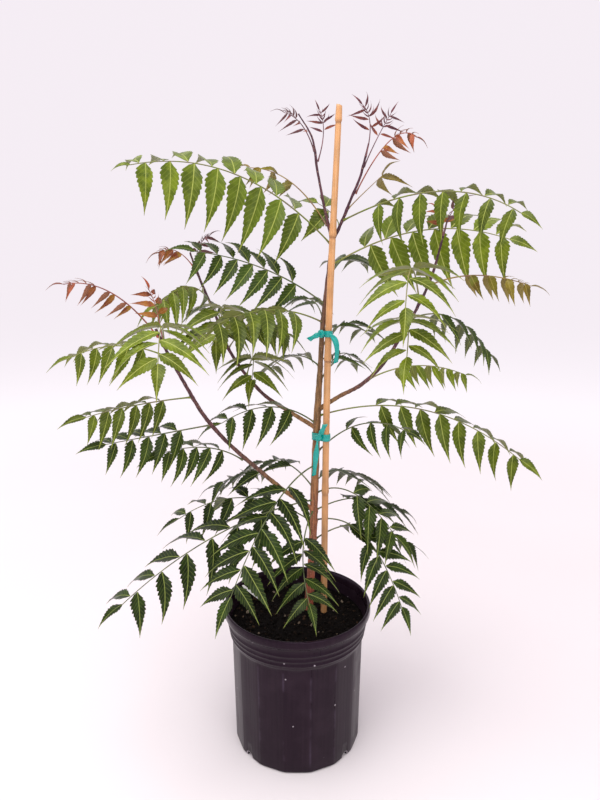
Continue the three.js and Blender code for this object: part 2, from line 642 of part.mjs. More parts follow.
// Point and directions on the rachis, carried straight on past its tip
function rachisFrame(leaf, x) {
  const share = THREE.MathUtils.clamp(x / leaf.whole, 0, 1);
  const point = leaf.curve.getPointAt(share);
  const forward = leaf.curve.getTangentAt(share);
  const up = new THREE.Vector3(...leaf.face);
  up.addScaledVector(forward, -up.dot(forward)).normalize();
  const left = up.clone().cross(forward);
  point.addScaledVector(forward, x - share * leaf.whole);
  return { point, forward, up, left };
}

// One point of a leaflet: reach out from the rachis, shift along it, lift off the blade's middle
function leafletPoint(leaf, leaflet, reach, shift, lift) {
  const droop = THREE.MathUtils.degToRad(leaflet.droop + leaflet.swing);
  const at = rachisFrame(leaf, leaflet.side ? leaflet.root + shift : leaflet.root);
  if (reach === 0) {
    at.point.addScaledVector(at.left, leaflet.side * BAR_WIDTH / 2);
    return at.point.addScaledVector(at.up, lift * BAR_DEPTH);
  }
  const out = at.left.clone().multiplyScalar(leaflet.side || 1);
  const run = new THREE.Vector3();
  const across = at.forward.clone();
  if (leaflet.side) {
    at.point.addScaledVector(out, BAR_WIDTH / 2);
    out.multiplyScalar(Math.cos(droop)).addScaledVector(at.up, -Math.sin(droop));
    run.addScaledVector(at.forward, Math.cos(leaf.sweep)).addScaledVector(out, Math.sin(leaf.sweep));
    run.z -= leaf.hang * Math.max(0, -out.z);
    run.normalize();
  } else {
    at.point.addScaledVector(out, shift);
    run.addScaledVector(at.forward, Math.cos(droop)).addScaledVector(at.up, -Math.sin(droop));
    across.copy(out);
  }
  const normal = run.clone().cross(across).normalize();
  normal.multiplyScalar(normal.dot(at.up) < 0 ? -1 : 1);
  const point = at.point.addScaledVector(run, reach).addScaledVector(normal, lift * BLADE_THICKNESS);
  point.z -= SAG * reach * reach / leaflet.length * (1 - Math.abs(run.z));
  return point;
}

// A leaflet's edge points, rear edge out to the tip and front edge back, on the flat plan
function leafletEdge(leaf, leaflet) {
  const half = leaf.slim * Math.min(WIDTH_SHARE * leaflet.length, PITCH_SHARE * leaf.pitch);
  const stretch = leaflet.side ? 1 / Math.sin(leaf.sweep) : 1;
  const small = leaflet.length < SMALL_LEAFLET;
  const rear = (small ? SMALL_TEETH : REAR_TEETH).map(([out, wide]) => [out, -wide * half]);
  const front = (small ? SMALL_TEETH : FRONT_TEETH).map(([out, wide]) => [out, wide * half]);
  const points = [[0, -ROOT_HALF], ...rear, [1, 0], ...front.reverse(), [0, ROOT_HALF]];
  return points.map(([out, wide]) => {
    const reach = out * leaflet.length;
    const bow = leaflet.side ? FALCATE * leaflet.length * out * out : 0;
    const shift = wide * stretch + bow;
    return edgePoint(leaf, leaflet, reach, shift);
  });
}

// Flat plan position of a leaflet's point, with the place where it comes to lie
function edgePoint(leaf, leaflet, reach, shift) {
  const plan = leaflet.side
    ? [leaflet.root + shift + reach * Math.cos(leaf.sweep),
      leaflet.side * (BAR_WIDTH / 2 + reach * Math.sin(leaf.sweep))]
    : [leaflet.root + reach, shift];
  const place = (lift, thicker = 1) => leafletPoint(leaf, leaflet, reach, shift, lift * thicker);
  return { plan, place };
}

// Point on the rachis's edge
function barPoint(leaf, side, x) {
  const plan = [x, side * BAR_WIDTH / 2];
  const place = (lift) => {
    const at = rachisFrame(leaf, x);
    at.point.addScaledVector(at.left, plan[1]);
    return at.point.addScaledVector(at.up, lift * BAR_DEPTH);
  };
  return { plan, place };
}

// Triangles of a flat patch, as trios of its points
function patchTriangles(points) {
  const corners = points.map(({ plan }) => new THREE.Vector2(...plan));
  return THREE.ShapeUtils.triangulateShape(corners, []).map((trio) => trio.map((i) => points[i]));
}

// Triangles of the rachis between its two edges, each reaching only to the next point
function barTriangles(right, left) {
  const trios = [];
  let [i, j] = [0, 0];
  while (i < right.length - 1 || j < left.length - 1) {
    const nextRight = i < right.length - 1 ? right[i + 1].plan[0] : Infinity;
    const nextLeft = j < left.length - 1 ? left[j + 1].plan[0] : Infinity;
    if (nextRight <= nextLeft) {
      trios.push([right[i], right[i + 1], left[j]]);
      i += 1;
    } else {
      trios.push([right[i], left[j + 1], left[j]]);
      j += 1;
    }
  }
  return trios;
}

// Thin solid with like triangles on both faces and a wall along its outline
function bentPlate(outline, trios, thicker = 1) {
  const corners = [];
  const add = (points) => points.forEach(([point, lift]) => corners.push(...point.place(lift, thicker)));
  for (const [a, b, c] of trios) {
    add([[a, 0.5], [b, 0.5], [c, 0.5]]);
    add([[a, -0.5], [c, -0.5], [b, -0.5]]);
  }
  outline.forEach((a, i) => {
    const b = outline[(i + 1) % outline.length];
    add([[a, -0.5], [b, -0.5], [b, 0.5]]);
    add([[a, -0.5], [b, 0.5], [a, 0.5]]);
  });
  const geometry = new THREE.BufferGeometry();
  geometry.setAttribute("position", new THREE.Float32BufferAttribute(corners, 3));
  return solidOf(geometry);
}

// One leaflet alone
function makeLeaflet(leaf, leaflet, thicker = 1) {
  const outline = leafletEdge(leaf, leaflet);
  const rightward = leaflet.side > 0 ? outline.reverse() : outline;
  return bentPlate(rightward, patchTriangles(rightward), thicker);
}

// Whole leaf in one outline, cut to the rachis between its leaflets
function makeLeaf(leaf) {
  const trios = [];
  const edge = (side) => {
    const outline = [barPoint(leaf, side, 0)];
    const bar = [outline[0]];
    for (const leaflet of leaf.leaflets) {
      if (leaflet.side === side && leaflet.clear) {
        const blade = leafletEdge(leaf, leaflet);
        const filled = fillBar(leaf, side, bar.at(-1), blade[0].plan[0]);
        trios.push(...patchTriangles(side < 0 ? blade : [...blade].reverse()));
        bar.push(...filled, blade[0], blade.at(-1));
        outline.push(...filled, ...blade);
      }
    }
    const last = [...fillBar(leaf, side, bar.at(-1), leaf.length), barPoint(leaf, side, leaf.length)];
    bar.push(...last);
    outline.push(...last);
    return { outline, bar };
  };
  const right = edge(-1);
  const left = edge(1);
  trios.push(...barTriangles(right.bar, left.bar));
  const tip = leaf.end.clear ? leafletEdge(leaf, leaf.end).slice(1, -1) : [];
  if (tip.length) {
    trios.push(...patchTriangles([right.bar.at(-1), ...tip, left.bar.at(-1)]));
  }
  return bentPlate([...right.outline, ...tip, ...left.outline.reverse()], trios);
}

// Points on a bare stretch of the rachis, so that it follows its curve
function fillBar(leaf, side, from, end) {
  const start = from.plan[0];
  const count = Math.floor((end - start) / BAR_STEP);
  const points = [];
  for (let i = 1; i <= count; i += 1) {
    points.push(barPoint(leaf, side, start + (end - start) * i / (count + 1)));
  }
  return points;
}

// Rachis alone
function makeBar(leaf) {
  const [right, left] = [-1, 1].map((side) => {
    const start = barPoint(leaf, side, 0);
    return [start, ...fillBar(leaf, side, start, leaf.length), barPoint(leaf, side, leaf.length)];
  });
  const trios = barTriangles(right, left);
  return bentPlate([...right, ...left.reverse()], trios);
}

function boxesMeet(one, other) {
  return [0, 1, 2].every((k) => one.min[k] <= other.max[k] && other.min[k] <= one.max[k]);
}

// Swings each leaflet until it is clear of all that stands, and leaves it out if it never is
function clearLeaflets(leaves, standing) {
  const bars = leaves.map((leaf) => ({ solid: makeBar(leaf), leaf }));
  const blocks = [...standing.map((solid) => ({ solid })), ...bars];
  for (const block of blocks) {
    block.box = block.solid.boundingBox();
  }
  for (const leaf of leaves) {
    for (const leaflet of [...leaf.leaflets, leaf.end]) {
      leaflet.clear = SWINGS.some((swing) => {
        leaflet.swing = swing;
        const wide = makeLeaflet(leaf, leaflet, 1 + 2 * CLEARANCE / BLADE_THICKNESS);
        const box = wide.boundingBox();
        return !blocks.some((block) => block.leaf !== leaf && boxesMeet(block.box, box)
          && wide.intersect(block.solid).volume() > 0);
      });
      if (leaflet.clear) {
        const solid = makeLeaflet(leaf, leaflet);
        blocks.push({ solid, leaf, box: solid.boundingBox() });
      }
    }
  }
}

function makeTree() {
  const group = new THREE.Group();
  const wood = makeWood();
  const stake = makeStake();
  const trunkHole = { ...STEMS.trunk, line: lowered(STEMS.trunk.line) };
  const holes = [
    stemSolid(trunkHole, GAP + HOLE_EASE), makeStake(GAP, lowered(STAKE_LINE)), makeLabel(GAP),
  ];
  const pot = makePot();
  const soil = makeSoil(holes);
  const label = makeLabel();
  const ties = Object.entries(TIES).map(([name, tie]) => [name, makeTie(tie)]);
  group.add(meshOf("pot", pot, POT_COLOUR, 0.45));
  group.add(meshOf("soil", soil, SOIL_COLOUR, 0.95));
  group.add(meshOf("wood", wood, WOOD_COLOUR, 0.8));
  group.add(meshOf("stake", stake, STAKE_COLOUR, 0.6));
  group.add(meshOf("label", label, LABEL_COLOUR, 0.5));
  for (const [name, tie] of ties) {
    group.add(meshOf(name, tie, TAPE_COLOUR, 0.4));
  }
  const room = makeWood(GAP);
  const leaves = LEAVES.map((row, index) => layOut(row, index, room));
  clearLeaflets(leaves, [pot, soil, wood, stake, label, ...ties.map(([, tie]) => tie)]);
  for (const leaf of leaves) {
    group.add(meshOf(`leaf_${leaf.name}`, makeLeaf(leaf), TONES[leaf.tone], 0.55));
  }
  return group;
}

// A centre line with its foot a little lower
function lowered([foot, ...rest]) {
  return [[foot[0], foot[1], foot[2] - 2 * GAP], ...rest];
}

const group = makeTree();
export default group;
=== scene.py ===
import math

import bmesh
import bpy
import numpy as np
from bpy.props import FloatProperty, FloatVectorProperty, IntProperty, PointerProperty
from bpy.types import Operator, Panel, PropertyGroup
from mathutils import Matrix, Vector, kdtree, noise


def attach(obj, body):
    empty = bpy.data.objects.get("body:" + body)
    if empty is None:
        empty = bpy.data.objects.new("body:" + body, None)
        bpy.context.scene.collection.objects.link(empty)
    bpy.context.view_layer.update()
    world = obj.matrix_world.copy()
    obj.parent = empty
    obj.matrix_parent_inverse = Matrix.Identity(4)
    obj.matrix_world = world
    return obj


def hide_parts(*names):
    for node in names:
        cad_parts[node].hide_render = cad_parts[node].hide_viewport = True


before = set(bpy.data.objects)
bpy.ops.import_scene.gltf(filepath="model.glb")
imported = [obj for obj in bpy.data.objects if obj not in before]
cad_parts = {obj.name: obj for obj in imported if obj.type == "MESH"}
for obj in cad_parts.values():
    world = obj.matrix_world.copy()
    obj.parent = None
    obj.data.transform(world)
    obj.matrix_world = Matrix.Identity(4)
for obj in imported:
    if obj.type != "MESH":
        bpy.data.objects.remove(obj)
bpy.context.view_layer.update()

bl_info = {
    "name": "Potted neem tree",
    "version": (1, 0, 0),
    "blender": (4, 5, 0),
    "location": "3D View > Sidebar > Neem tree",
    "description": "Dresses the solids of a potted neem tree with fine leaves, bark, soil and pot",
    "category": "Object",
}

MM = 0.001

# Sizes shared with the solids, in millimetres
STEMS = {
    "trunk": {
        "line": (
            (13, 22, 130), (17, 22, 186), (22, 22, 270), (25, 22, 370),
            (28, 22, 470), (32, 21, 550), (37, 20, 635), (48, 19, 737),
        ),
        "radii": (4.5, 7.2, 6, 5.7, 5.4, 5, 3.6, 3.1, 2.5),
    },
    "fork_left": {
        "line": (
            (47, 19, 730), (36, 24, 776), (27, 28, 822), (20, 30, 862), (2, 31, 892),
        ),
        "radii": (2.2, 1.8, 1.4, 1),
    },
    "fork_right": {
        "line": (
            (47, 19, 728), (60, 18, 755), (72, 14, 785), (83, 9, 812), (92, 5, 850),
        ),
        "radii": (2.2, 1.9, 1.6, 1.2),
    },
    "branch_left": {
        "line": (
            (25, 22, 345), (-20, 5, 383), (-55, -12, 420), (-90, -32, 460),
            (-120, -48, 502), (-142, -62, 548), (-160, -74, 590), (-172, -80, 620),
        ),
        "radii": (3.4, 3, 2.6, 2.2, 1.5),
    },
    "branch_back": {
        "line": (
            (28, 22, 470), (-14, 40, 492), (-54, 56, 517), (-98, 76, 570),
            (-122, 84, 628), (-148, 90, 690), (-157, 90, 718),
        ),
        "radii": (3.2, 2.7, 2.3, 1.9, 1.2),
    },
    "branch_right": {
        "line": (
            (31, 22, 498), (60, 25, 516), (90, 10, 536), (118, -5, 568),
            (142, -16, 613), (157, -20, 642), (175, -20, 684), (192, -20, 754),
        ),
        "radii": (3.2, 2.7, 2.3, 1.9, 1.2),
    },
}

STAKE_LINE = ((40, 14, 8), (40, 14, 190), (41, 13, 440), (44, 11, 640), (54, 8, 898))
STAKE_NODES = (378, 570, 738, 880)
STAKE_RADIUS = 4.85
STAKE_TOP_RADIUS = 3.95
STAKE_TAPER_SHARE = 0.75
STAKE_LENGTH = 895
STAKE_RINGS = 330
STAKE_SIDES = 32
STEM_STEP = 3.2
STEM_SIDES = 22
TIES = {
    "tie_upper": {
        "height": 606,
        "band": 10,
        "tails": (((60, -2, 610), (53, 2, 567)), ((28, 3, 606), (16, 8, 598))),
    },
    "tie_lower": {
        "height": 459,
        "band": 12,
        "tails": (((27, 3, 440), (24, 6, 404)), ((35, 3, 468), (39, 4, 480))),
    },
}
KNOT_HALF = 5.6
KNOT_DEPTH = 2.6
TAIL_HALF = 3.4
LABEL_FOOT = (-40, 46, 173)
LABEL_SIZE = (1, 9, 60)
LABEL_LEAN = 50

# Pot
PANELS = 16
BODY_FOOT = 92.5
COLLAR_FOOT = 164
COLLAR_RADIUS = 97
COLLAR_HEIGHT = 34
COLLAR_SPREAD = 6
FLOOR = 3
RIDGES = (172, 180, 188)
RIDGE_SHAPE = ((-0.1, -3.6), (0.5, -1.8), (1.3, -0.8), (1.6, 0), (1.3, 0.8), (0.6, 1.8))
PANEL_STEPS = 12
HOLE_HALF = 5.5
HOLE_FOOT = -3
HOLE_SPRING = 3.5
HOLE_ARCH = 4.5
HOLE_DEPTHS = (-100, -87.6)
DRAIN_ANGLES = (48, 180, 312)
SOIL_TOP = 186

# Leaves
BAR_WIDTH = 2.4
BLADE_LIFT = 0.8
WIDTH_SHARE = 0.145
PITCH_SHARE = 0.4
END_REACH = 0.9
SIZE_LEAST = 0.62
SIZE_PHASES = (0.25, 0.95)
STAGGER = {1: -0.1, -1: 0.16}
LENGTH_SPREAD = 0.06
SEED_STEP = 7919
FALCATE = 0.12
SAG = 0.16
ARCH_RISE = 0.055
ARCH_SPREAD = 0.035
FOLD_SPREAD = 0.7
TWIST_SPREAD = 0.35
DROOP_SPREAD = 7
SWINGS = (0, 12, -12, 24, -24, 36, -36)
# What most leaves have: the way their upper side faces, the bare share of the stalk, the spread of
# the leaflets in degrees, their hang, the size of the last leaflet, the slimness, the length of
# leaflets at the tip that haven't unfolded yet, and the brightness against the tone
USUAL_LEAF = {
    "face": (0, 0, 1), "bare": 0.22, "sweep": 62, "hang": 0.5, "end": 0.7, "slim": 1, "claw": 0,
    "shade": 1,
}
# Name, stem, height of the seat, a point on the way, tip, tone, pairs of leaflets, their length,
# their droop in degrees, and what is unlike most leaves
LEAVES = (
    # Crown, on the two shoots above the fork
    ("crown_left", "trunk", 727, (-84, -20, 811), (-219, -60, 808), "green", 8, 86, 30,
     dict(face=(0, -1.1, 1), bare=0.16, hang=1.2, sweep=86, end=0.28, shade=1.3)),
    ("crown_left_back", "fork_left", 752, (-19, 54, 817), (-88, 74, 830), "olive", 3, 38, 45,
     dict(bare=0.45)),
    ("crown_right", "fork_right", 758, (176, -80, 780), (260, -150, 733), "green", 7, 60, 35,
     dict(face=(-0.2, -1.1, 1), bare=0.15, hang=1, sweep=92, end=0.5)),
    ("crown_right_low", "trunk", 699, (178, 5, 744), (300, -35, 716), "lime", 7, 84, 30,
     dict(face=(0, -1.3, 1), bare=0.16, hang=1, sweep=68, end=0.45)),
    ("crown_middle", "fork_right", 745, (44, 36, 770), (-10, 44, 800), "green", 1, 56, 30,
     dict(face=(0, -1, 1), bare=0.4, end=0.85, sweep=80, slim=1.4)),
    ("crown_right_arch", "fork_right", 792, (124, -5, 856), (160, -15, 840), "bronze", 3, 28, 60,
     dict(bare=0.45, claw=14)),
    ("crown_right_slim", "fork_right", 772, (95, 30, 798), (136, 40, 835), "olive", 1, 46, 40,
     dict(bare=0.8)),
    ("crown_left_tip", "fork_left", 846, (0, 10, 880), (-32, 0, 886), "red", 3, 26, 45,
     dict(bare=0.3, slim=0.6, claw=15)),
    ("crown_left_tip_back", "fork_left", 834, (35, 40, 880), (22, 45, 912), "red", 3, 24, 20,
     dict(bare=0.5, face=(0, -1, 0.3), slim=0.6, claw=13)),
    ("crown_right_tip", "fork_right", 836, (90, -8, 880), (66, -10, 900), "red", 3, 28, 30,
     dict(bare=0.4, face=(0, -1, 0.3), slim=0.6, claw=15)),
    ("crown_right_tip_back", "fork_right", 824, (108, 14, 866), (130, 14, 902), "red", 3, 26, 30,
     dict(bare=0.5, face=(0, -1, 0.3), slim=0.6, claw=15)),
    # Upper trunk, behind the stake and to both sides
    ("upper_left", "trunk", 648, (-60, -5, 699), (-169, -20, 717), "dark", 7, 60, 20,
     dict(face=(0, -1, 1), bare=0.2, shade=1.25)),
    ("upper_front_left", "trunk", 622, (-52, -60, 640), (-135, -135, 600), "green", 6, 76, 30,
     dict(face=(-0.3, -0.4, 1), bare=0.24, shade=0.9)),
    ("upper_back_right", "trunk", 680, (77, 90, 712), (112, 170, 690), "dark", 4, 52, 15, {}),
    ("upper_back_left", "trunk", 625, (20, 90, 650), (-10, 180, 640), "dark", 3, 52, 15, {}),
    ("middle_back_right", "trunk", 588, (75, 85, 615), (125, 160, 580), "dark", 4, 50, 15, {}),
    ("middle_back_left", "trunk", 560, (-11, 90, 565), (-59, 170, 520), "dark", 4, 52, 15, {}),
    ("middle_back", "trunk", 540, (69, 90, 570), (98, 170, 528), "dark", 4, 50, 15, {}),
    # Right branch
    ("right_bronze", "branch_right", 672, (240, -30, 684), (315, -50, 662), "olive", 4, 36, 62,
     dict(bare=0.3, claw=10)),
    ("right_front_high", "branch_right", 650, (128, -125, 690), (112, -190, 612), "lime", 5, 66, 14,
     dict(bare=0.3, hang=0.2)),
    ("right_front_low", "branch_right", 600, (130, -110, 632), (116, -175, 560), "lime", 5, 64, 14,
     dict(bare=0.25, hang=0.2)),
    ("right_dark", "branch_right", 630, (224, 20, 622), (286, 30, 552), "dark", 5, 48, 45, {}),
    ("right_slim", "branch_right", 545, (180, 25, 560), (262, 35, 535), "lime", 5, 38, 60,
     dict(shade=1.2)),
    ("right_tip", "branch_right", 735, (200, -30, 770), (222, -35, 776), "red", 3, 26, 20,
     dict(bare=0.3, claw=11)),
    ("right_tip_back", "branch_right", 722, (188, 0, 762), (168, 10, 772), "bronze", 2, 24, 25,
     dict(bare=0.4)),
    ("middle_left", "trunk", 480, (-50, -15, 508), (-130, -35, 468), "dark", 4, 58, 32,
     dict(face=(0, -0.6, 1))),
    ("right_long", "trunk", 490, (184, -15, 502), (311, -80, 430), "green", 8, 62, 42,
     dict(face=(0, -0.8, 1), bare=0.24, end=0.6, shade=0.88)),
    ("right_inner", "trunk", 438, (100, 12, 480), (160, -80, 478), "dark", 4, 50, 40,
     dict(face=(0, -0.6, 1))),
    # Back branch
    ("back_bronze", "branch_back", 700, (-185, 85, 722), (-215, 80, 702), "bronze", 3, 34, 40,
     dict(bare=0.3, claw=12)),
    ("back_tip", "branch_back", 690, (-138, 66, 728), (-106, 50, 744), "red", 3, 28, 30,
     dict(bare=0.35, claw=11)),
    ("back_left", "branch_back", 640, (-160, 45, 668), (-215, 10, 615), "lime", 5, 64, 40, {}),
    ("back_front", "branch_back", 610, (-104, 15, 640), (-108, -60, 570), "lime", 5, 66, 14,
     dict(hang=0.2, shade=0.85)),
    ("back_right", "branch_back", 580, (-46, 50, 620), (8, 40, 575), "green", 4, 58, 35,
     dict(shade=0.85)),
    ("back_inner", "branch_back", 540, (-60, 5, 572), (-62, -60, 520), "green", 4, 62, 16,
     dict(hang=0.2, shade=0.9)),
    ("back_far", "branch_back", 595, (-140, 150, 640), (-190, 210, 610), "dark", 3, 56, 25, {}),
    # Left branch
    ("left_bronze", "branch_left", 612, (-222, -110, 668), (-283, -120, 668), "bronze", 4, 30, 62,
     dict(bare=0.3, slim=0.8, claw=14)),
    ("left_tip", "branch_left", 606, (-178, -60, 655), (-196, -50, 680), "bronze", 3, 30, 25,
     dict(bare=0.35, claw=12)),
    ("left_front", "branch_left", 600, (-150, -150, 625), (-142, -215, 558), "lime", 5, 66, 14,
     dict(bare=0.25, hang=0.2)),
    ("left_high", "branch_left", 586, (-222, -110, 602), (-284, -130, 575), "lime", 5, 48, 38,
     dict(face=(0, -0.6, 1), shade=0.85)),
    ("left_middle", "branch_left", 532, (-212, -95, 525), (-282, -120, 508), "green", 6, 50, 38,
     dict(face=(0, -0.6, 1), shade=0.8)),
    ("left_low", "branch_left", 492, (-201, -70, 480), (-274, -90, 470), "dark", 5, 54, 35,
     dict(face=(0, -0.8, 1))),
    ("left_deep", "branch_left", 440, (-133, -50, 462), (-205, -75, 448), "dark", 5, 52, 35,
     dict(face=(0, -0.6, 1))),
    ("left_inner", "branch_left", 395, (-80, 45, 395), (-150, 60, 350), "deep", 4, 54, 20, {}),
    # Lower trunk, old leaves round the pot
    ("low_left", "trunk", 330, (-95, 20, 365), (-200, 5, 315), "deep", 5, 58, 25,
     dict(face=(0, -0.4, 1), shade=1.15)),
    ("low_left_long", "trunk", 362, (-118, -75, 342), (-243, -140, 258), "deep", 6, 72, 38,
     dict(face=(0.1, -0.7, 1), bare=0.24, end=0.55, shade=1.1)),
    ("low_front_left", "trunk", 415, (-37, -85, 380), (-95, -165, 262), "deep", 7, 72, 18,
     dict(face=(-0.1, -0.5, 1), bare=0.26, hang=0.2)),
    ("low_front", "trunk", 345, (8, -60, 305), (26, -125, 240), "deep", 5, 58, 18,
     dict(face=(0, -0.4, 1), bare=0.3, hang=0.2)),
    ("low_right", "trunk", 330, (106, 22, 298), (156, -60, 198), "deep", 5, 56, 18,
     dict(face=(0.3, -1, 0.6), bare=0.4, shade=1.1)),
    ("low_right_back", "trunk", 300, (112, 60, 305), (208, 85, 240), "deep", 5, 60, 25, {}),
    ("low_right_high", "trunk", 372, (96, 44, 356), (168, 8, 272), "dark", 4, 66, 20,
     dict(face=(0, -0.5, 1), bare=0.34)),
    ("low_back_right", "trunk", 345, (112, 88, 338), (196, 130, 280), "deep", 5, 62, 15,
     dict(bare=0.3)),
    ("low_back", "trunk", 390, (78, 96, 382), (146, 165, 318), "deep", 5, 62, 15, {}),
    ("low_back_left", "trunk", 380, (-40, 110, 395), (-110, 180, 330), "deep", 4, 60, 15, {}),
)

# Colours of a blade by age: upper side, its darker patches, veins, underside, rachis, and the
# upper side of the older leaflets near the leaf's foot
TONES = {
    "deep": ("2e4012", "1b2808", "a3b158", "646c50", "6f7748", "26380e"),
    "dark": ("3c5014", "283809", "aab55a", "6e7554", "6b6a48", "34480f"),
    "green": ("6c7a1a", "49580e", "b9c15e", "838a4c", "756c4e", "55661a"),
    "lime": ("74821c", "55640f", "c6cb6c", "90964c", "857d4c", "66781c"),
    "olive": ("8c7424", "685818", "bba85c", "9a8a50", "7a5a44", "6e7a22"),
    "bronze": ("a04c32", "783824", "b9805a", "a06e54", "74403a", "96731c"),
    "red": ("7c4c50", "5a343e", "8e5e60", "7c5658", "50303a", "ad5a26"),
}


def linear(code):
    """Linear red, green, blue and alpha of an sRGB hex colour."""
    parts = [int(code[i:i + 2], 16) / 255 for i in (0, 2, 4)]
    return (*(c / 12.92 if c <= 0.04045 else ((c + 0.055) / 1.055) ** 2.4 for c in parts), 1.0)


def unit(v):
    return v / np.linalg.norm(v, axis=-1, keepdims=True)


# The setting that the word after a node's kind gives
MODES = {
    "Math": "operation", "VectorMath": "operation", "Mix": "data_type", "UVMap": "uv_map",
    "Attribute": "attribute_name", "MapRange": "interpolation_type", "TexNoise": "noise_dimensions",
    "FunctionNodeRandomValue": "data_type", "GeometryNodeInputNamedAttribute": "data_type",
}


def add(tree, kind, *values, stops=(), **named):
    """Adds a node with its setting and inputs, which are values, or nodes and sockets to link.

    A map range takes its value, the range that this has and the range that it gets.
    """
    kind, *mode = kind.split()
    made = tree.nodes.new(kind if "Node" in kind else "ShaderNode" + kind)
    if mode:
        setattr(made, MODES[kind], mode[0])
    for _ in stops[2:]:
        made.color_ramp.elements.new(1)
    for i, (place, colour) in enumerate(stops):
        made.color_ramp.elements[i].position = place
        made.color_ramp.elements[i].color = linear(colour)
    inputs = list(zip((socket for socket in made.inputs if socket.enabled), values))
    inputs += [(made.inputs[name.replace("_", " ")], value) for name, value in named.items()]
    for socket, value in inputs:
        if isinstance(value, bpy.types.Node):
            value = next(out for out in value.outputs if out.enabled)
        if isinstance(value, bpy.types.NodeSocket):
            tree.links.new(value, socket)
        else:
            socket.default_value = value
    return made


def new_finish(name):
    """A material, its empty node tree, and the place of a point on the object for its patterns."""
    finish = bpy.data.materials.new(name)
    finish.use_nodes = True
    finish.node_tree.nodes.clear()
    return finish, finish.node_tree, add(finish.node_tree, "TexCoord").outputs["Object"]


def show(finish, surface):
    add(finish.node_tree, "OutputMaterial", Surface=surface)
    return finish


# Curves and faces

def turned(x, y, angle):
    """A point turned round the origin."""
    return x * math.cos(angle) - y * math.sin(angle), x * math.sin(angle) + y * math.cos(angle)


def catmull(line, shares):
    """Points of the smooth curve through a line's points, at shares of the way."""
    p = np.asarray(line, float)
    p = np.vstack([2 * p[0] - p[1], p, 2 * p[-1] - p[-2]])
    place = np.clip(np.atleast_1d(shares), 0, 1) * (len(line) - 1)
    i = np.minimum(place.astype(int), len(line) - 2)
    w = (place - i)[:, None]
    a, b, c, d = p[i], p[i + 1], p[i + 2], p[i + 3]
    start, end = (c - a) / 2, (d - b) / 2
    square, cube = 3 * (c - b) - 2 * start - end, 2 * (b - c) + start + end
    return b + start * w + square * w ** 2 + cube * w ** 3


def share_at_height(line, height):
    """Share of the way along a rising curve at which it reaches a height."""
    low, high = 0.0, 1.0
    for _ in range(40):
        middle = (low + high) / 2
        if catmull(line, middle)[0, 2] < height:
            low = middle
        else:
            high = middle
    return low


class Rachis:
    """Bent line of a leaf's rachis, measured in millimetres along it."""

    def __init__(self, start, via, tip, face):
        self.start, self.tip, self.face = start, tip, face
        self.bend = 2 * via - (start + tip) / 2
        self.shares = np.linspace(0, 1, 201)
        steps = np.linalg.norm(np.diff(self.point(self.shares), axis=0), axis=1)
        self.reach = np.concatenate([[0], np.cumsum(steps)])
        self.length = self.reach[-1]

    def point(self, t):
        t = np.asarray(t, float)[..., None]
        return (1 - t) ** 2 * self.start + 2 * (1 - t) * t * self.bend + t * t * self.tip

    def frame(self, x):
        """Point, forward, up and left at distances x, carried straight on past the tip."""
        x = np.asarray(x, float)
        inside = np.clip(x, 0, self.length)
        t = np.interp(inside, self.reach, self.shares)
        forward = unit(self.point(np.minimum(t + 1e-4, 1)) - self.point(np.maximum(t - 1e-4, 0)))
        up = unit(self.face - forward * (forward @ self.face)[..., None])
        left = np.cross(up, forward)
        return self.point(t) + forward * (x - inside)[..., None], forward, up, left


def ring_faces(rings, sides, caps=True, inward=False, start=0):
    """Faces of a tube of rings that rise along it, or turned inward, with or without its ends."""
    faces = []
    for first in range(start, start + (rings - 1) * sides, sides):
        for i in range(sides):
            a, b = first + i, first + (i + 1) % sides
            faces.append((a, a + sides, b + sides, b) if inward else (a, b, b + sides, a + sides))
    if caps:
        foot, top = (tuple(range(ring * sides, (ring + 1) * sides)) for ring in (0, rings - 1))
        faces += [foot, top[::-1]] if inward else [foot[::-1], top]
    return faces


def sheet_faces(rows, wide):
    """Faces of a sheet of two skins, closed along its border, and that border."""
    under = rows * wide
    faces = []
    for row in range(rows - 1):
        for a in range(row * wide, row * wide + wide - 1):
            b = a + wide
            faces.append((a, b, b + 1, a + 1))
            faces.append((a + under, a + 1 + under, b + 1 + under, b + under))
    border = [row * wide for row in range(rows)]
    border += [under - wide + column for column in range(1, wide)]
    border += [row * wide + wide - 1 for row in range(rows - 2, -1, -1)]
    border += list(range(wide - 2, 0, -1))
    for a, b in zip(border, border[1:] + border[:1]):
        faces.append((a + under, b + under, b, a))
    return faces, border


def circle(radius, count, height):
    """Points round the pot's axis, in metres, at one height or at a function's height."""
    points = []
    for i in range(count):
        angle = 2 * math.pi * i / count
        x, y = radius * math.cos(angle), radius * math.sin(angle)
        points.append((x * MM, y * MM, (height(x, y) if callable(height) else height) * MM))
    return points


# Leaves as the solids have them

def drawn(seed):
    """Seeded draw between -1 and 1."""
    state = seed
    while True:
        state = state * 16807 % 2147483647
        yield 2 * state / 2147483647 - 1


def leaflet_pose(leaf, leaflet, swing, place):
    """Axes of a leaflet at a place on the rachis: its start, run, across and normal."""
    point, forward, up, left = leaf["rachis"].frame(place)
    angle = math.radians(leaflet["droop"] + swing)
    side = leaflet["side"]
    if side:
        out = left * side
        start = point + out * BAR_WIDTH / 2
        out = out * math.cos(angle) - up * math.sin(angle)
        run = forward * math.cos(leaf["sweep"]) + out * math.sin(leaf["sweep"])
        run[2] -= leaf["hang"] * max(0.0, -out[2])
        across = forward
    else:
        start = point
        run = forward * math.cos(angle) - up * math.sin(angle)
        across = left
    run = unit(run)
    normal = unit(np.cross(run, across))
    if normal @ up < 0:
        normal = -normal
    return start, run, across, normal


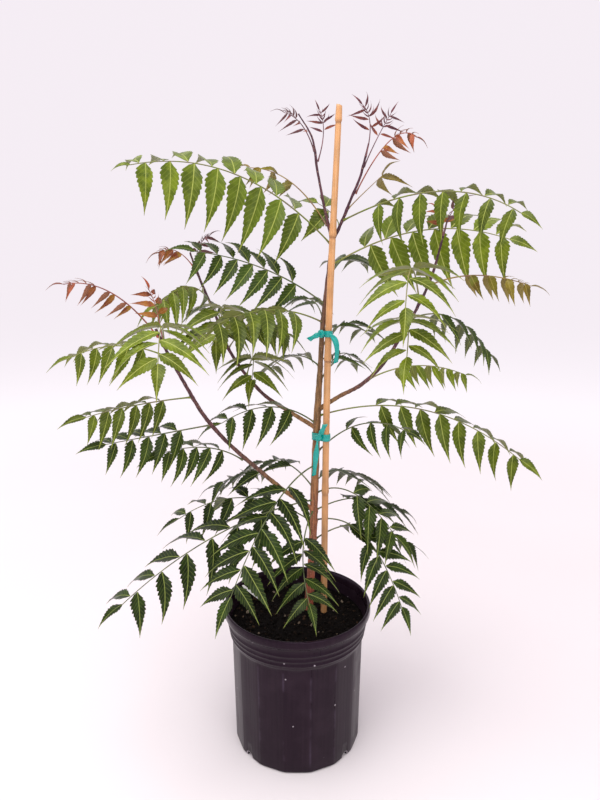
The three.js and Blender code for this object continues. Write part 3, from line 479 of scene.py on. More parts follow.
def leaflet_tip(leaf, leaflet, swing):
    """Upper corner of a leaflet's tip in the solid."""
    length = leaflet["length"]
    bow = FALCATE * length if leaflet["side"] else 0
    start, run, _, normal = leaflet_pose(leaf, leaflet, swing, leaflet["root"] + bow)
    tip = start + run * length + normal * BLADE_LIFT / 2
    tip[2] -= SAG * length * (1 - abs(run[2]))
    return tip


def read_leaf(index, corners):
    """Rachis and leaflets of one leaf. Each leaflet is turned or left out as in the solid."""
    name, on, height, via, tip, tone, pairs, blade, droop, own = LEAVES[index]
    leaf = {**USUAL_LEAF, **own, "name": name, "tone": tone, "pairs": pairs, "blade": blade}
    centre = catmull(STEMS[on]["line"], share_at_height(STEMS[on]["line"], height))[0]
    corners = np.unique(np.round(corners, 3), axis=0)
    tree = kdtree.KDTree(len(corners))
    for i, corner in enumerate(corners):
        tree.insert(corner, i)
    tree.balance()
    nearest = np.argsort(np.linalg.norm(corners - centre, axis=1))[:4]
    seat = corners[nearest].mean(axis=0)
    via, tip, face = (np.array(v, float) for v in (via, tip, leaf["face"]))
    leaf["rachis"] = Rachis(seat, via, tip, face)
    leaf["sweep"] = math.radians(leaf["sweep"])
    leaf["length"] = leaf["rachis"].length - END_REACH * leaf["end"] * leaf["blade"]
    bare = leaf["bare"] * leaf["length"]
    pitch = (leaf["length"] - bare) / leaf["pairs"]
    draw = drawn(SEED_STEP * (index + 1))
    leaflets = []
    for side in (1, -1):
        for i in range(leaf["pairs"]):
            phase = SIZE_PHASES[0] + (SIZE_PHASES[1] - SIZE_PHASES[0]) * (i + 0.5) / leaf["pairs"]
            size = SIZE_LEAST + (1 - SIZE_LEAST) * math.sin(math.pi * phase)
            leaflets.append({
                "side": side,
                "root": bare + (i + 0.5 + STAGGER[side]) * pitch,
                "length": leaf["blade"] * size * (1 + LENGTH_SPREAD * next(draw)),
                "droop": droop + DROOP_SPREAD * next(draw),
            })
    end = {"side": 0, "root": leaf["length"], "length": leaf["blade"] * leaf["end"], "droop": 0}
    leaf["leaflets"] = []
    for leaflet in (*leaflets, end):
        for swing in SWINGS:
            if tree.find(Vector(leaflet_tip(leaf, leaflet, swing)))[2] < 0.05:
                leaflet["swing"] = swing
                half = min(WIDTH_SHARE * leaflet["length"], PITCH_SHARE * pitch)
                leaflet["half"] = half * leaf["slim"]
                leaf["leaflets"].append(leaflet)
                break
    return leaf

# Leaf shapes

# Outline of a leaflet, as share of its reach and share of its half width
DISTAL_EDGE = (
    (0, 0.1), (0.025, 0.5), (0.06, 0.86), (0.12, 1.14), (0.2, 1.26), (0.3, 1.2), (0.42, 1),
    (0.55, 0.74), (0.67, 0.48), (0.78, 0.27), (0.87, 0.13), (0.94, 0.06), (1, 0.015),
)
PROXIMAL_EDGE = (
    (0, 0.1), (0.03, 0.2), (0.08, 0.46), (0.15, 0.76), (0.24, 0.96), (0.34, 0.98), (0.46, 0.85),
    (0.58, 0.64), (0.7, 0.42), (0.8, 0.24), (0.88, 0.12), (0.94, 0.06), (1, 0.015),
)
TOOTH_SHAPE = ((0, -1), (0.5, 0.1), (0.86, 0.55))
TOOTH_SPAN = (0.07, 0.93)
TOOTH_UNEVEN = 0.5
COLUMNS = (-1, -0.52, 0, 0.52, 1)
EDGE_THICK = 0.1
BLADE_THICK = 0.2
RIB_RISE = 0.38
YOUNG_BLADE = 44


def blade_rows(teeth, depth):
    """Reach and both edges of each row of a blade, three rows to a tooth."""
    start, end = TOOTH_SPAN
    rows = [(0, 0), (0.03, 0)]
    for tooth in range(teeth):
        deep = depth * (1 + TOOTH_UNEVEN * math.sin(2.4 * tooth))
        for place, out in TOOTH_SHAPE:
            rows.append((start + (end - start) * (tooth + place) / teeth, out * deep))
    rows += [(end, -depth), (1, 0)]
    distal = np.array(DISTAL_EDGE).T
    proximal = np.array(PROXIMAL_EDGE).T
    return [
        (x, -np.interp(x, *proximal) * (1 + out), np.interp(x, *distal) * (1 + out))
        for x, out in rows
    ]


def blade_template(name, teeth, depth):
    """Unit leaflet blade, closed all round, with its plan kept as attributes."""
    rows = blade_rows(teeth, depth)
    wide = len(COLUMNS)
    shape, weights, plan = [], [], []
    for face in (1, -1):
        for x, low, high in rows:
            for column in COLUMNS:
                y = column * (high if column > 0 else -low)
                thick = RIB_RISE if column == 0 else EDGE_THICK if abs(column) == 1 else BLADE_THICK
                shape.append((x, y, face * thick * (1 - 0.6 * x)))
                weights.append((x * x, 4 * x * (1 - x), abs(y) ** 0.8))
                plan.append((x, 0.5 + 0.38 * y))
    faces, border = sheet_faces(len(rows), wide)
    low_side = [0.0, 1.0] * ((len(faces) - len(border)) // 2) + [0.5] * len(border)
    mesh = bpy.data.meshes.new(name)
    mesh.from_pydata(shape, [], faces)
    mesh.shade_smooth()
    under = len(rows) * wide
    rim = set(zip(border, border[1:] + border[:1]))
    rim |= {(a + under, b + under) for a, b in rim}
    for edge in mesh.edges:
        a, b = edge.vertices
        edge.use_edge_sharp = (a, b) in rim or (b, a) in rim
    keep(mesh, "shape", shape)
    keep(mesh, "weights", weights)
    mesh.attributes.new("under", "FLOAT", "FACE").data.foreach_set("value", low_side)
    layer = mesh.uv_layers.new(name="blade")
    layer.data.foreach_set("uv", [c for loop in mesh.loops for c in plan[loop.vertex_index]])
    return in_scene(name, mesh)


def keep(mesh, name, values):
    """Keeps a number or a vector for each point of a mesh."""
    values = np.asarray(values, float)
    kind, key = ("FLOAT", "value") if values.ndim == 1 else ("FLOAT_VECTOR", "vector")
    mesh.attributes.new(name, kind, "POINT").data.foreach_set(key, values.ravel())


# A blade reaches a little less far than its solid, so that its curl stays inside
BLADE_REACH = 0.985
ROLL_SPREAD = 0.32
TINT_SPREAD = 0.25
# Blades of young leaves are slimmer, as they are still half rolled
ROLLED = {"red": 0.72, "bronze": 0.86}
CLAW_PAIRS = 4
CLAW_HALF = 0.065
RACHIS_STEP = 5
RACHIS_FOOT = 1.5
LEAF_VECTORS = ("seat", "along", "bend", "arch", "across", "rise")
LEAF_NUMBERS = ("half", "fold", "twist", "tint", "ripe", "mirrored", "girth", "leaflet")


def carrier(seat, along, bend, arch, across, rise, half, fold, twist, tint, ripe):
    """What carries a unit blade onto its place on the leaf, in metres, from measures in mm."""
    return {
        "seat": seat * MM, "along": along * MM, "bend": bend * MM, "arch": arch * MM,
        "across": across * MM, "rise": rise, "half": half * MM, "fold": fold, "twist": twist,
        "tint": tint, "ripe": ripe, "mirrored": float(np.cross(along, across) @ rise < 0),
        "girth": 0, "leaflet": 1,
    }


def leaflet_axes(leaf, leaflet, draw):
    """Carrier of a grown leaflet, rolled a little about its own length."""
    length = leaflet["length"]
    start, run, forward, normal = leaflet_pose(leaf, leaflet, leaflet["swing"], leaflet["root"])
    wide = unit(forward - run * (run @ forward))
    roll = ROLL_SPREAD * draw()
    wide, normal = (
        wide * math.cos(roll) + normal * math.sin(roll),
        normal * math.cos(roll) - wide * math.sin(roll),
    )
    half = leaflet["half"] * ROLLED.get(leaf["tone"], 1)
    bow = (forward * FALCATE if leaflet["side"] else run * 0) * length
    sag = np.array([0, 0, -SAG * length * (1 - abs(run[2]))])
    return carrier(
        start, run * length * BLADE_REACH, bow + sag,
        normal * length * (ARCH_RISE + ARCH_SPREAD * draw()),
        wide * half, normal, half, fold=1 + FOLD_SPREAD * draw(), twist=TWIST_SPREAD * draw(),
        tint=1 + TINT_SPREAD * draw(),
        ripe=min(1.0, 1.4 * max(0.0, 1 - leaflet["root"] / leaf["length"]) * (1 + 0.3 * draw())),
    )


def claw_axes(leaf, step, side, draw):
    """Carrier of a thin leaflet at the leaf's tip that is still curled in."""
    share = step / CLAW_PAIRS
    seat, forward, up, left = leaf["rachis"].frame(leaf["length"] * (0.74 + 0.26 * share))
    length = leaf["claw"] * (1 - 0.45 * share) * (1 + 0.2 * draw())
    out = unit(left * side + up * (0.35 + 0.5 * draw()))
    spread = math.radians(62 + 12 * draw())
    run = forward * math.cos(spread) + out * math.sin(spread)
    wide = unit(np.cross(up, run))
    return carrier(
        seat, run * length, (forward * 0.45 - out * 0.25) * length, out * length * 0.06,
        wide * length * CLAW_HALF, unit(np.cross(run, wide)), length * CLAW_HALF, fold=1, twist=0,
        tint=0.95 + 0.2 * draw(), ripe=0,
    )


def leaf_skeleton(leaf, settings):
    """A point for each leaflet and a chain of edges along the rachis."""
    draws = drawn(int(leaf["length"] * 1000) + 11)
    draw = lambda: next(draws)
    points = [leaflet_axes(leaf, leaflet, draw) for leaflet in leaf["leaflets"]]
    if leaf["claw"]:
        steps = range(CLAW_PAIRS)
        points += [claw_axes(leaf, step, side, draw) for step in steps for side in (1, -1)]
    for point in points:
        point["tint"] *= leaf["shade"]
    first = len(points)
    steps = max(6, int(leaf["length"] / RACHIS_STEP))
    reach = leaf["length"]
    for x in np.linspace(-RACHIS_FOOT, reach, steps):
        share = max(0.0, x / reach)
        girth = settings.rachis_foot + (settings.rachis_tip - settings.rachis_foot) * share
        girth *= 1 + 0.7 * math.exp(-(share * reach * MM / 0.003) ** 2)
        point = {key: np.zeros(3) for key in LEAF_VECTORS} | {key: 0 for key in LEAF_NUMBERS}
        point["seat"] = leaf["rachis"].frame(x)[0] * MM
        point["girth"] = girth / 2 * leaf_girth(leaf)
        points.append(point)
    mesh = bpy.data.meshes.new(leaf["name"])
    chain = [(i, i + 1) for i in range(first, len(points) - 1)]
    mesh.from_pydata([point["seat"] for point in points], chain, [])
    for key in (*LEAF_VECTORS, *LEAF_NUMBERS):
        keep(mesh, key, [point[key] for point in points])
    return mesh


def leaf_girth(leaf):
    """A short leaf's rachis is finer."""
    return min(1.0, 0.55 + leaf["length"] / 350)


def new_growth(name, inputs):
    """A geometry tree with named inputs, and the sockets that give them."""
    tree = bpy.data.node_groups.new(name, "GeometryNodeTree")
    tree.interface.new_socket("Geometry", in_out="INPUT", socket_type="NodeSocketGeometry")
    for label, kind in inputs:
        tree.interface.new_socket(label, in_out="INPUT", socket_type=kind)
    tree.interface.new_socket("Geometry", in_out="OUTPUT", socket_type="NodeSocketGeometry")
    return tree, add(tree, "NodeGroupInput").outputs


def leaf_growth():
    """Geometry tree that grows a leaf's blades and rachis from its skeleton."""
    tree, given = new_growth("Leaf from skeleton", [
        ("Blade", "NodeSocketObject"), ("Fold", "NodeSocketFloat"), ("Ripple", "NodeSocketFloat"),
        ("Seed", "NodeSocketInt"), ("Blade finish", "NodeSocketMaterial"),
        ("Rachis finish", "NodeSocketMaterial"),
    ])
    vectors = (*LEAF_VECTORS, "shape", "weights")
    kept = {}
    for key in (*vectors, *LEAF_NUMBERS):
        kind = "FLOAT_VECTOR" if key in vectors else "FLOAT"
        kept[key] = add(tree, "GeometryNodeInputNamedAttribute " + kind, key)
    parts = add(
        tree, "GeometryNodeSeparateGeometry", Geometry=given["Geometry"],
        Selection=kept["leaflet"],
    )
    blade = add(tree, "GeometryNodeObjectInfo", Object=given["Blade"])
    placed = add(
        tree, "GeometryNodeInstanceOnPoints", Points=parts.outputs["Selection"],
        Instance=blade.outputs["Geometry"],
    )
    blades = add(tree, "GeometryNodeRealizeInstances", placed)
    reach, wide, thick = add(tree, "SeparateXYZ", kept["shape"]).outputs
    squared, bulge, edge = add(tree, "SeparateXYZ", kept["weights"]).outputs
    wave = add(tree, "TexNoise 4D", kept["seat"], W=given["Seed"], Scale=90, Detail=1)
    # Each term moves a point along one of its leaflet's directions, by the product of the rest
    terms = (
        ("along", reach), ("across", wide), ("bend", squared), ("arch", bulge),
        ("rise", thick, MM),
        ("rise", kept["half"], kept["fold"], given["Fold"], edge),
        ("rise", kept["half"], kept["twist"], reach, wide),
        ("rise", wave, given["Ripple"], bulge),
    )
    place = kept["seat"]
    for vector, weight, *others in terms:
        for other in others:
            weight = add(tree, "Math MULTIPLY", weight, other)
        step = add(tree, "VectorMath SCALE", kept[vector], weight)
        place = add(tree, "VectorMath ADD", place, step)
        if vector == "across":
            tree.links.new(place.outputs[0], wave.inputs["Vector"])
    moved = add(tree, "GeometryNodeSetPosition", Geometry=blades, Position=place)
    blades = add(tree, "GeometryNodeFlipFaces", Mesh=moved, Selection=kept["mirrored"])
    blades = add(tree, "GeometryNodeSetMaterial", Geometry=blades, Material=given["Blade finish"])
    line = add(tree, "GeometryNodeMeshToCurve", Mesh=parts.outputs["Inverted"])
    ring = add(tree, "GeometryNodeCurvePrimitiveCircle", Resolution=8, Radius=1)
    rod = add(
        tree, "GeometryNodeCurveToMesh", Curve=line, Profile_Curve=ring, Scale=kept["girth"],
        Fill_Caps=True,
    )
    rod = add(tree, "GeometryNodeSetShadeSmooth", Geometry=rod)
    rod = add(tree, "GeometryNodeSetMaterial", Geometry=rod, Material=given["Rachis finish"])
    whole = add(tree, "GeometryNodeJoinGeometry")
    for part in (rod, blades):
        tree.links.new(part.outputs[0], whole.inputs[0])
    add(tree, "NodeGroupOutput", Geometry=add(tree, "GeometryNodeRealizeInstances", whole))
    return tree


def grown(name, mesh, tree, inputs):
    """A plain mesh object of what a geometry tree makes of a mesh."""
    base = in_scene(name + ".base", mesh)
    modifier = base.modifiers.new("Growth", "NODES")
    modifier.node_group = tree
    for item in tree.interface.items_tree:
        if item.item_type == "SOCKET" and item.in_out == "INPUT" and item.name in inputs:
            modifier[item.identifier] = inputs[item.name]
    made = applied(base, modifier)
    bpy.data.objects.remove(base)
    made.name = name
    return in_scene(name, made)


def forget(mesh, names):
    """Removes attributes that have done their work."""
    for name in names:
        attribute = mesh.attributes.get(name)
        if attribute:
            mesh.attributes.remove(attribute)


# Finishes

def blade_finish(tone, settings):
    """Living leaf blade: waxy upper side with a grey gloss, light shining through, paler veins."""
    upper, patch, vein, lower, _, ripened = TONES[tone]
    finish, tree, place = new_finish("Leaf blade, " + tone)
    plan = add(tree, "UVMap blade")
    plan = add(tree, "SeparateXYZ", plan)
    reach = plan.outputs[0]
    wide = add(tree, "Math SUBTRACT", plan.outputs[1], 0.5)
    wide = add(tree, "Math ABSOLUTE", wide)
    slant = add(tree, "Math MULTIPLY", wide, -0.42)
    slant = add(tree, "Math ADD", slant, reach)
    count = add(tree, "Math MULTIPLY", slant, settings.veins)
    away = add(tree, "Math PINGPONG", count, 0.5)
    veins = add(tree, "MapRange SMOOTHSTEP", away, 0.03, 0.14, 1, 0)
    rib = add(tree, "MapRange SMOOTHSTEP", wide, 0.01, 0.026, 0.8, 0)
    lines = add(tree, "Math MULTIPLY", veins, 0.16)
    lines = add(tree, "Math MAXIMUM", lines, rib)
    # Patches of deeper green about 12 mm across
    mottle = add(tree, "TexNoise", place, Scale=85, Detail=3)
    mottle = add(tree, "MapRange", mottle, 0.38, 0.62)
    tint = add(tree, "Attribute tint").outputs["Fac"]
    ripe = add(tree, "Attribute ripe").outputs["Fac"]
    body = add(tree, "Mix RGBA", ripe, linear(upper), linear(ripened))
    body = add(tree, "Mix RGBA", mottle, body, linear(patch))
    body = add(tree, "HueSaturation", Color=body, Value=tint)
    body = add(tree, "Mix RGBA", lines, body, linear(vein))
    ending = add(tree, "MapRange SMOOTHSTEP", reach, 0.9, 1, 0, 0.55)
    body = add(tree, "Mix RGBA", ending, body, linear("4a2430"))
    below = add(tree, "Attribute under").outputs["Fac"]
    pale = add(tree, "Mix RGBA", lines, linear(lower), linear(vein))
    body = add(tree, "Mix RGBA", below, body, pale)
    height = add(tree, "Math MULTIPLY_ADD", lines, -0.8, mottle)
    relief = add(tree, "Bump", Height=height, Strength=0.5, Distance=0.35 * MM)
    gloss = add(tree, "MapRange", mottle, 0, 1, 0.32, 0.46)
    skin = add(
        tree, "BsdfPrincipled", Base_Color=body, Roughness=gloss, Normal=relief, IOR=1.24,
        Coat_Weight=0.25, Coat_Roughness=0.2, Coat_IOR=1.3,
        Sheen_Weight=0.5 if tone in ("deep", "dark") else 0.3, Sheen_Roughness=0.2,
        Sheen_Tint=linear("ddd2e6"),
    )
    glow = add(tree, "BsdfTranslucent", Color=body, Normal=relief)
    return show(finish, add(tree, "MixShader", 0.24, skin, glow))


def rachis_finish(tone):
    """Green wood of a young leaf stalk: smooth, faintly ridged, redder on young leaves."""
    finish, tree, place = new_finish("Leaf stalk, " + tone)
    # Blotches about 15 mm long
    blotch = add(tree, "TexNoise", place, Scale=65, Detail=2)
    body = add(tree, "ValToRGB", stops=((0.35, TONES[tone][0]), (0.65, TONES[tone][4])), Fac=blotch)
    relief = add(tree, "Bump", Height=blotch, Strength=0.3, Distance=0.2 * MM)
    return show(finish, add(tree, "BsdfPrincipled", Base_Color=body, Roughness=0.45, Normal=relief))


def bark_finish(settings):
    """Young bark: matt, finely split lengthwise, rust-brown at the foot and maroon at the top."""
    finish, tree, place = new_finish("Bark, young stem")
    height = add(tree, "SeparateXYZ", place).outputs[2]
    # Splits about 3 mm wide and 20 mm long
    long = add(tree, "Mapping", place, Scale=(330, 330, 50))
    split = add(tree, "TexNoise", long, Scale=1, Detail=5)
    # Pores about 2 mm across
    pores = add(tree, "TexVoronoi", place, Scale=260)
    pores = add(tree, "MapRange", pores, 0.12, 0.3, 1, 0)
    level = add(tree, "MapRange", height, 0.18, 0.9)
    drift = add(tree, "TexNoise", place, Scale=22, Detail=2)
    level = add(tree, "Math MULTIPLY_ADD", drift, 0.16, level)
    # A branch is younger and darker wood the farther it is from the trunk
    away = add(tree, "VectorMath SUBTRACT", place, (27 * MM, 22 * MM, 0))
    away = add(tree, "VectorMath MULTIPLY", away, (1, 1, 0))
    away = add(tree, "VectorMath LENGTH", away)
    younger = add(tree, "MapRange", away, 14 * MM, 90 * MM, 0, 0.32)
    level = add(tree, "Math ADD", level, younger)
    body = add(
        tree, "ValToRGB",
        stops=(
            (0.1, "9a4f38"), (0.25, "9a5e42"), (0.42, "986a40"), (0.6, "83623c"), (0.8, "5e3a38"),
            (1, "4a2434"),
        ), Fac=level,
    )
    dark = add(tree, "MapRange", split, 0.4, 0.6, 0.55, 1.15)
    body = add(tree, "HueSaturation", Color=body, Value=dark)
    faint = add(tree, "Math MULTIPLY", pores, 0.35)
    body = add(tree, "Mix RGBA", faint, body, linear("c39a78"))
    relief = add(tree, "Math MULTIPLY_ADD", pores, 0.25, split)
    relief = add(tree, "Bump", Height=relief, Strength=0.8, Distance=settings.bark_relief)
    return show(finish, add(tree, "BsdfPrincipled", Base_Color=body, Roughness=0.72, Normal=relief))


def bamboo_finish(settings):
    """Dried bamboo cane: hard silky skin, straw to orange-tan, with fine lengthwise streaks."""
    finish, tree, place = new_finish("Bamboo cane, dried")
    # Streaks about 1 mm wide and 80 mm long
    long = add(tree, "Mapping", place, Scale=(900, 900, 12))
    streak = add(tree, "TexNoise", long, Scale=1, Detail=3)
    blotch = add(tree, "TexNoise", place, Scale=30, Detail=3)
    straw = ((0.3, "b9783f"), (0.5, "d79a5e"), (0.7, "ecc190"))
    body = add(tree, "ValToRGB", stops=straw, Fac=streak)
    body = add(tree, "Mix RGBA", 0.55, body, (*settings.stake_colour, 1))
    shade = add(tree, "MapRange", blotch, 0.35, 0.65, 0.8, 1.12)
    # Darker towards the foot: painted shade of the foliage above, and partly dirt
    height = add(tree, "SeparateXYZ", place).outputs[2]
    foliage_shade_and_dirt = add(tree, "MapRange", height, 0.19, 0.62, 0.62, 0.88)
    shade = add(tree, "Math MULTIPLY", shade, foliage_shade_and_dirt)
    body = add(tree, "HueSaturation", Color=body, Value=shade)
    scar = add(tree, "Attribute scar").outputs["Fac"]
    body = add(tree, "Mix RGBA", scar, body, linear("7a4a26"))
    relief = add(tree, "Bump", Height=streak, Strength=0.4, Distance=0.25 * MM)
    skin = add(
        tree, "BsdfPrincipled", Base_Color=body, Roughness=0.42, Normal=relief, Coat_Weight=0.1,
    )
    return show(finish, skin)


def film_finish(settings):
    """Stretched plastic tying film: bright, glossy, a little see-through, finely creased."""
    finish, tree, place = new_finish("Polythene film, stretched")
    # Creases about 2 mm apart, drawn round the stems
    creases = add(tree, "Mapping", place, Scale=(90, 90, 520))
    creases = add(tree, "TexNoise", creases, Scale=1, Detail=3)
    body = add(tree, "Mix RGBA", creases, linear("05857c"), (*settings.tie_colour, 1))
    relief = add(tree, "Bump", Height=creases, Strength=0.7, Distance=0.6 * MM)
    skin = add(
        tree, "BsdfPrincipled", Base_Color=body, Roughness=0.22, Normal=relief, IOR=1.5,
        Coat_Weight=0.4, Coat_Roughness=0.12,
    )
    glow = add(tree, "BsdfTranslucent", Color=body, Normal=relief)
    return show(finish, add(tree, "MixShader", 0.2, skin, glow))


def label_finish(settings):
    """Matt white polystyrene strip, faintly grained and smudged by the soil."""
    finish, tree, place = new_finish("Polystyrene, matt white")
    grain = add(tree, "TexNoise", place, Scale=1600, Detail=2)
    smudge = add(tree, "TexNoise", place, Scale=90, Detail=4)
    height = add(tree, "SeparateXYZ", place).outputs[2]
    low = add(tree, "MapRange", height, 0.186, 0.2, 0.7, 0)
    dirt = add(tree, "Math MULTIPLY", smudge, low)
    body = add(tree, "Mix RGBA", dirt, (*settings.label_colour, 1), linear("6d5a48"))
    relief = add(tree, "Bump", Height=grain, Strength=0.3, Distance=0.1 * MM)
    return show(finish, add(tree, "BsdfPrincipled", Base_Color=body, Roughness=0.5, Normal=relief))


def pot_specks(tree, place, flow):
    """Where splashes, and the torn rims of the drain holes, make the pot paler."""
    # Splashes of potting mix and lime, about 2 mm across, a few to each hand's breadth
    ragged = add(tree, "TexNoise", place, Scale=700)
    ragged = add(tree, "VectorMath SCALE", ragged.outputs["Color"], 2 * MM)
    ragged = add(tree, "VectorMath ADD", place, ragged)
    specks = add(tree, "TexVoronoi", ragged, Scale=70)
    near = add(tree, "MapRange SMOOTHSTEP", specks, 0.05, 0.1, 1, 0)
    seldom = add(tree, "SeparateColor", specks.outputs["Color"])
    seldom = add(tree, "Math GREATER_THAN", seldom, 0.68)
    specks = add(tree, "Math MULTIPLY", near, seldom)
    # Torn pale rim round each drain hole, on the outer skin alone
    level = add(tree, "VectorMath MULTIPLY", place, (1, 1, 0))
    level = add(tree, "VectorMath LENGTH", level)
    skin = add(tree, "Math GREATER_THAN", level, 91.6 * MM)
    for degrees in DRAIN_ANGLES:
        angle = math.radians(degrees - 90)
        hole = (BODY_FOOT * MM * math.cos(angle), BODY_FOOT * MM * math.sin(angle), 2 * MM)
        away = add(tree, "VectorMath DISTANCE", place, hole)
        away = add(tree, "Math MULTIPLY_ADD", flow, 3 * MM, away)
        torn = add(tree, "MapRange SMOOTHSTEP", away, 8 * MM, 8.8 * MM, 1, 0)
        torn = add(tree, "Math MULTIPLY", torn, skin)
        specks = add(tree, "Math MAXIMUM", specks, torn)
    return specks


def pot_finish(settings):
    """Blow-moulded black polythene: satin, with upright flow lines, splashes, soil dust and a
    painted highlight along each panel crease.
    """
    finish, tree, place = new_finish("Polythene, blow-moulded black")
    # Flow lines about 4 mm wide that run up the wall
    upright = add(tree, "Mapping", place, Scale=(240, 240, 6))
    flow = add(tree, "TexNoise", upright, Scale=1, Detail=3)
    # Grain of the mould, drawn at 0.8 mm so that it shows
    grain = add(tree, "TexNoise", place, Scale=1200, Detail=2)
    dust = add(tree, "TexNoise", place, Scale=28, Detail=6)
    dust = add(tree, "MapRange", dust, 0.5, 0.75, 0, 0.35)
    body = add(tree, "Mix RGBA", flow, (*settings.pot_colour, 1), linear("241820"))
    body = add(tree, "Mix RGBA", dust, body, linear("33272f"))
    # Creases about 4 mm wide where two panels meet, with a painted highlight along their crest,
    # patchy like the dust
    across, along, height = add(tree, "SeparateXYZ", place).outputs
    turn = add(tree, "Math ARCTAN2", along, across)
    turn = add(tree, "Math MULTIPLY", turn, PANELS / math.tau)
    turn = add(tree, "Math PINGPONG", turn, 0.5)
    crease = add(tree, "MapRange SMOOTHSTEP", turn, 0.43, 0.5)
    wall = add(tree, "MapRange", height, 0.158, 0.163, 1, 0)
    crease = add(tree, "Math MULTIPLY", crease, wall)
    # Painted highlight: the crest of each crease is made paler where the dust lies
    crest_highlight = add(tree, "Math MULTIPLY", crease, dust)
    body = add(tree, "Mix RGBA", crest_highlight, body, linear("5a4e60"))
    specks = pot_specks(tree, place, flow)
    body = add(tree, "Mix RGBA", specks, body, linear("a29aa0"))
    rough = add(tree, "MapRange", flow, 0, 1, 0.22, 0.4)
    rough = add(tree, "Math MULTIPLY_ADD", dust, 0.5, rough)
    # The lip is handled smooth
    lip = add(tree, "MapRange", height, 0.199, 0.203, 1, 0.5)
    rough = add(tree, "Math MULTIPLY", rough, lip)
    relief = add(tree, "Math MULTIPLY_ADD", grain, 0.12, flow)
    relief = add(tree, "Math MULTIPLY_ADD", crease, 0.5, relief)
    relief = add(tree, "Math MULTIPLY_ADD", specks, 0.6, relief)
    relief = add(tree, "Bump", Height=relief, Strength=0.5, Distance=0.5 * MM)
    skin = add(
        tree, "BsdfPrincipled", Base_Color=body, Roughness=rough, Normal=relief, IOR=1.3,
        Specular_Tint=linear("cdb4d2"),
    )
    return show(finish, skin)


def soil_finish(settings):
    """Moist peaty potting mix: nearly black, matt, crumbly, with a few paler fibres."""
    finish, tree, place = new_finish("Potting mix, moist")
    # Crumbs about 3 mm across
    crumb = add(tree, "TexNoise", place, Scale=330, Detail=5)
    peat = ((0.35, "050302"), (0.6, "0e0906"), (0.8, "241b16"))
    body = add(tree, "ValToRGB", stops=peat, Fac=crumb)
    body = add(tree, "Mix RGBA", 0.4, body, (*settings.soil_colour, 1))
    relief = add(tree, "Bump", Height=crumb, Strength=1, Distance=1.5 * MM)
    skin = add(
        tree, "BsdfPrincipled", Base_Color=body, Roughness=0.85, Normal=relief,
        Specular_IOR_Level=0.08,
    )
    return show(finish, skin)


def crumb_finish():
    """Bits in the mix: bark chips, peat crumbs and a few white grains of perlite."""
    finish, tree, place = new_finish("Potting mix, loose crumbs")
    pick = add(tree, "Attribute tint").outputs["Fac"]
    body = add(
        tree, "ValToRGB",
        stops=((0, "060403"), (0.6, "120c08"), (0.9, "241912"), (0.97, "4a3626"), (1, "857868")),
        Fac=pick,
    )
    # Broken faces about 1 mm across
    chips = add(tree, "TexNoise", place, Scale=900, Detail=3)
    relief = add(tree, "Bump", Height=chips, Strength=0.8, Distance=0.5 * MM)
    skin = add(
        tree, "BsdfPrincipled", Base_Color=body, Roughness=0.85, Normal=relief,
        Specular_IOR_Level=0.15,
    )
    return show(finish, skin)


def floor_finish(settings):
    """Matt pale board, with a breath of tone, that whitens far off to meet the background."""
    finish, tree, place = new_finish("Studio board, matt")
    cloud = add(tree, "TexNoise", place, Scale=1.5)
    body = add(tree, "Mix RGBA", cloud, (*settings.floor_colour, 1), linear("e2dcdc"))
    away = add(tree, "VectorMath LENGTH", place)
    far = add(tree, "MapRange SMOOTHSTEP", away, 0.6, 3)
    body = add(tree, "Mix RGBA", far, body, linear("ffffff"))
    skin = add(tree, "BsdfPrincipled", Base_Color=body, Roughness=0.9, Specular_IOR_Level=0)
    return show(finish, skin)


# Pieces

def in_scene(name, data):
    """Object of a mesh, a light or a camera, put in the scene."""
    made = bpy.data.objects.new(name, data)
    bpy.context.collection.objects.link(made)
    return made


def applied(piece, modifier):
    """Mesh that a modifier makes of a piece, and the modifier removed."""
    bpy.context.view_layer.update()
    evaluated = piece.evaluated_get(bpy.context.evaluated_depsgraph_get())
    made = bpy.data.meshes.new_from_object(evaluated)
    piece.modifiers.remove(modifier)
    return made


def new_piece(name, points, faces, smooth=True):
    """Mesh object from points in metres."""
    mesh = bpy.data.meshes.new(name)
    mesh.from_pydata(np.asarray(points).tolist(), [], faces)
    if smooth:
        mesh.shade_smooth()
    mesh.update()
    return in_scene(name, mesh)


def settle(piece, finish, slot, *nodes):
    """Gives a piece its finish and the nodes that it stands for, whose solids it hides. The slot is
    not used.
    """
    if finish:
        piece.data.materials.clear()
        piece.data.materials.append(finish)
    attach(piece, "root")
    if nodes:
        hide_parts(*nodes)


def tube(centres, radii, sides, rough=None):
    """Points and faces of a tube along centres, whose skin may be roughened."""
    forward = unit(np.gradient(centres, axis=0))
    side = unit(np.cross((0, 1, 0), forward))
    other = np.cross(forward, side)
    angles = np.linspace(0, 2 * np.pi, sides, endpoint=False)
    points = []
    for centre, radius, a, b in zip(centres, radii, side, other):
        for angle in angles:
            out = a * math.cos(angle) + b * math.sin(angle)
            reach = radius + (rough(centre + out * radius, angle) if rough else 0)
            points.append(centre + out * reach)
    return np.array(points), ring_faces(len(centres), sides)


# Stage

CAMERA_PLACE = (4, -814, 679)
CAMERA_PITCH = 11.35
CAMERA_LENS = 27
CAMERA_REACH = 60
FLOOR_HALF = 25
FLOOR_LEVEL = -0.5
BACKGROUND = 0.95
# Name, place and target in metres, width in metres, and watts
LIGHTS = (
    ("light_above", (-0.4, -0.6, 2.4), (0, 0, 0.5), 1.6, 34),
    ("light_front", (0.9, -1.9, 1.4), (0, 0, 0.5), 1.4, 12),
    ("light_side", (-2, -0.3, 1.1), (0, 0, 0.4), 1.3, 6),
)


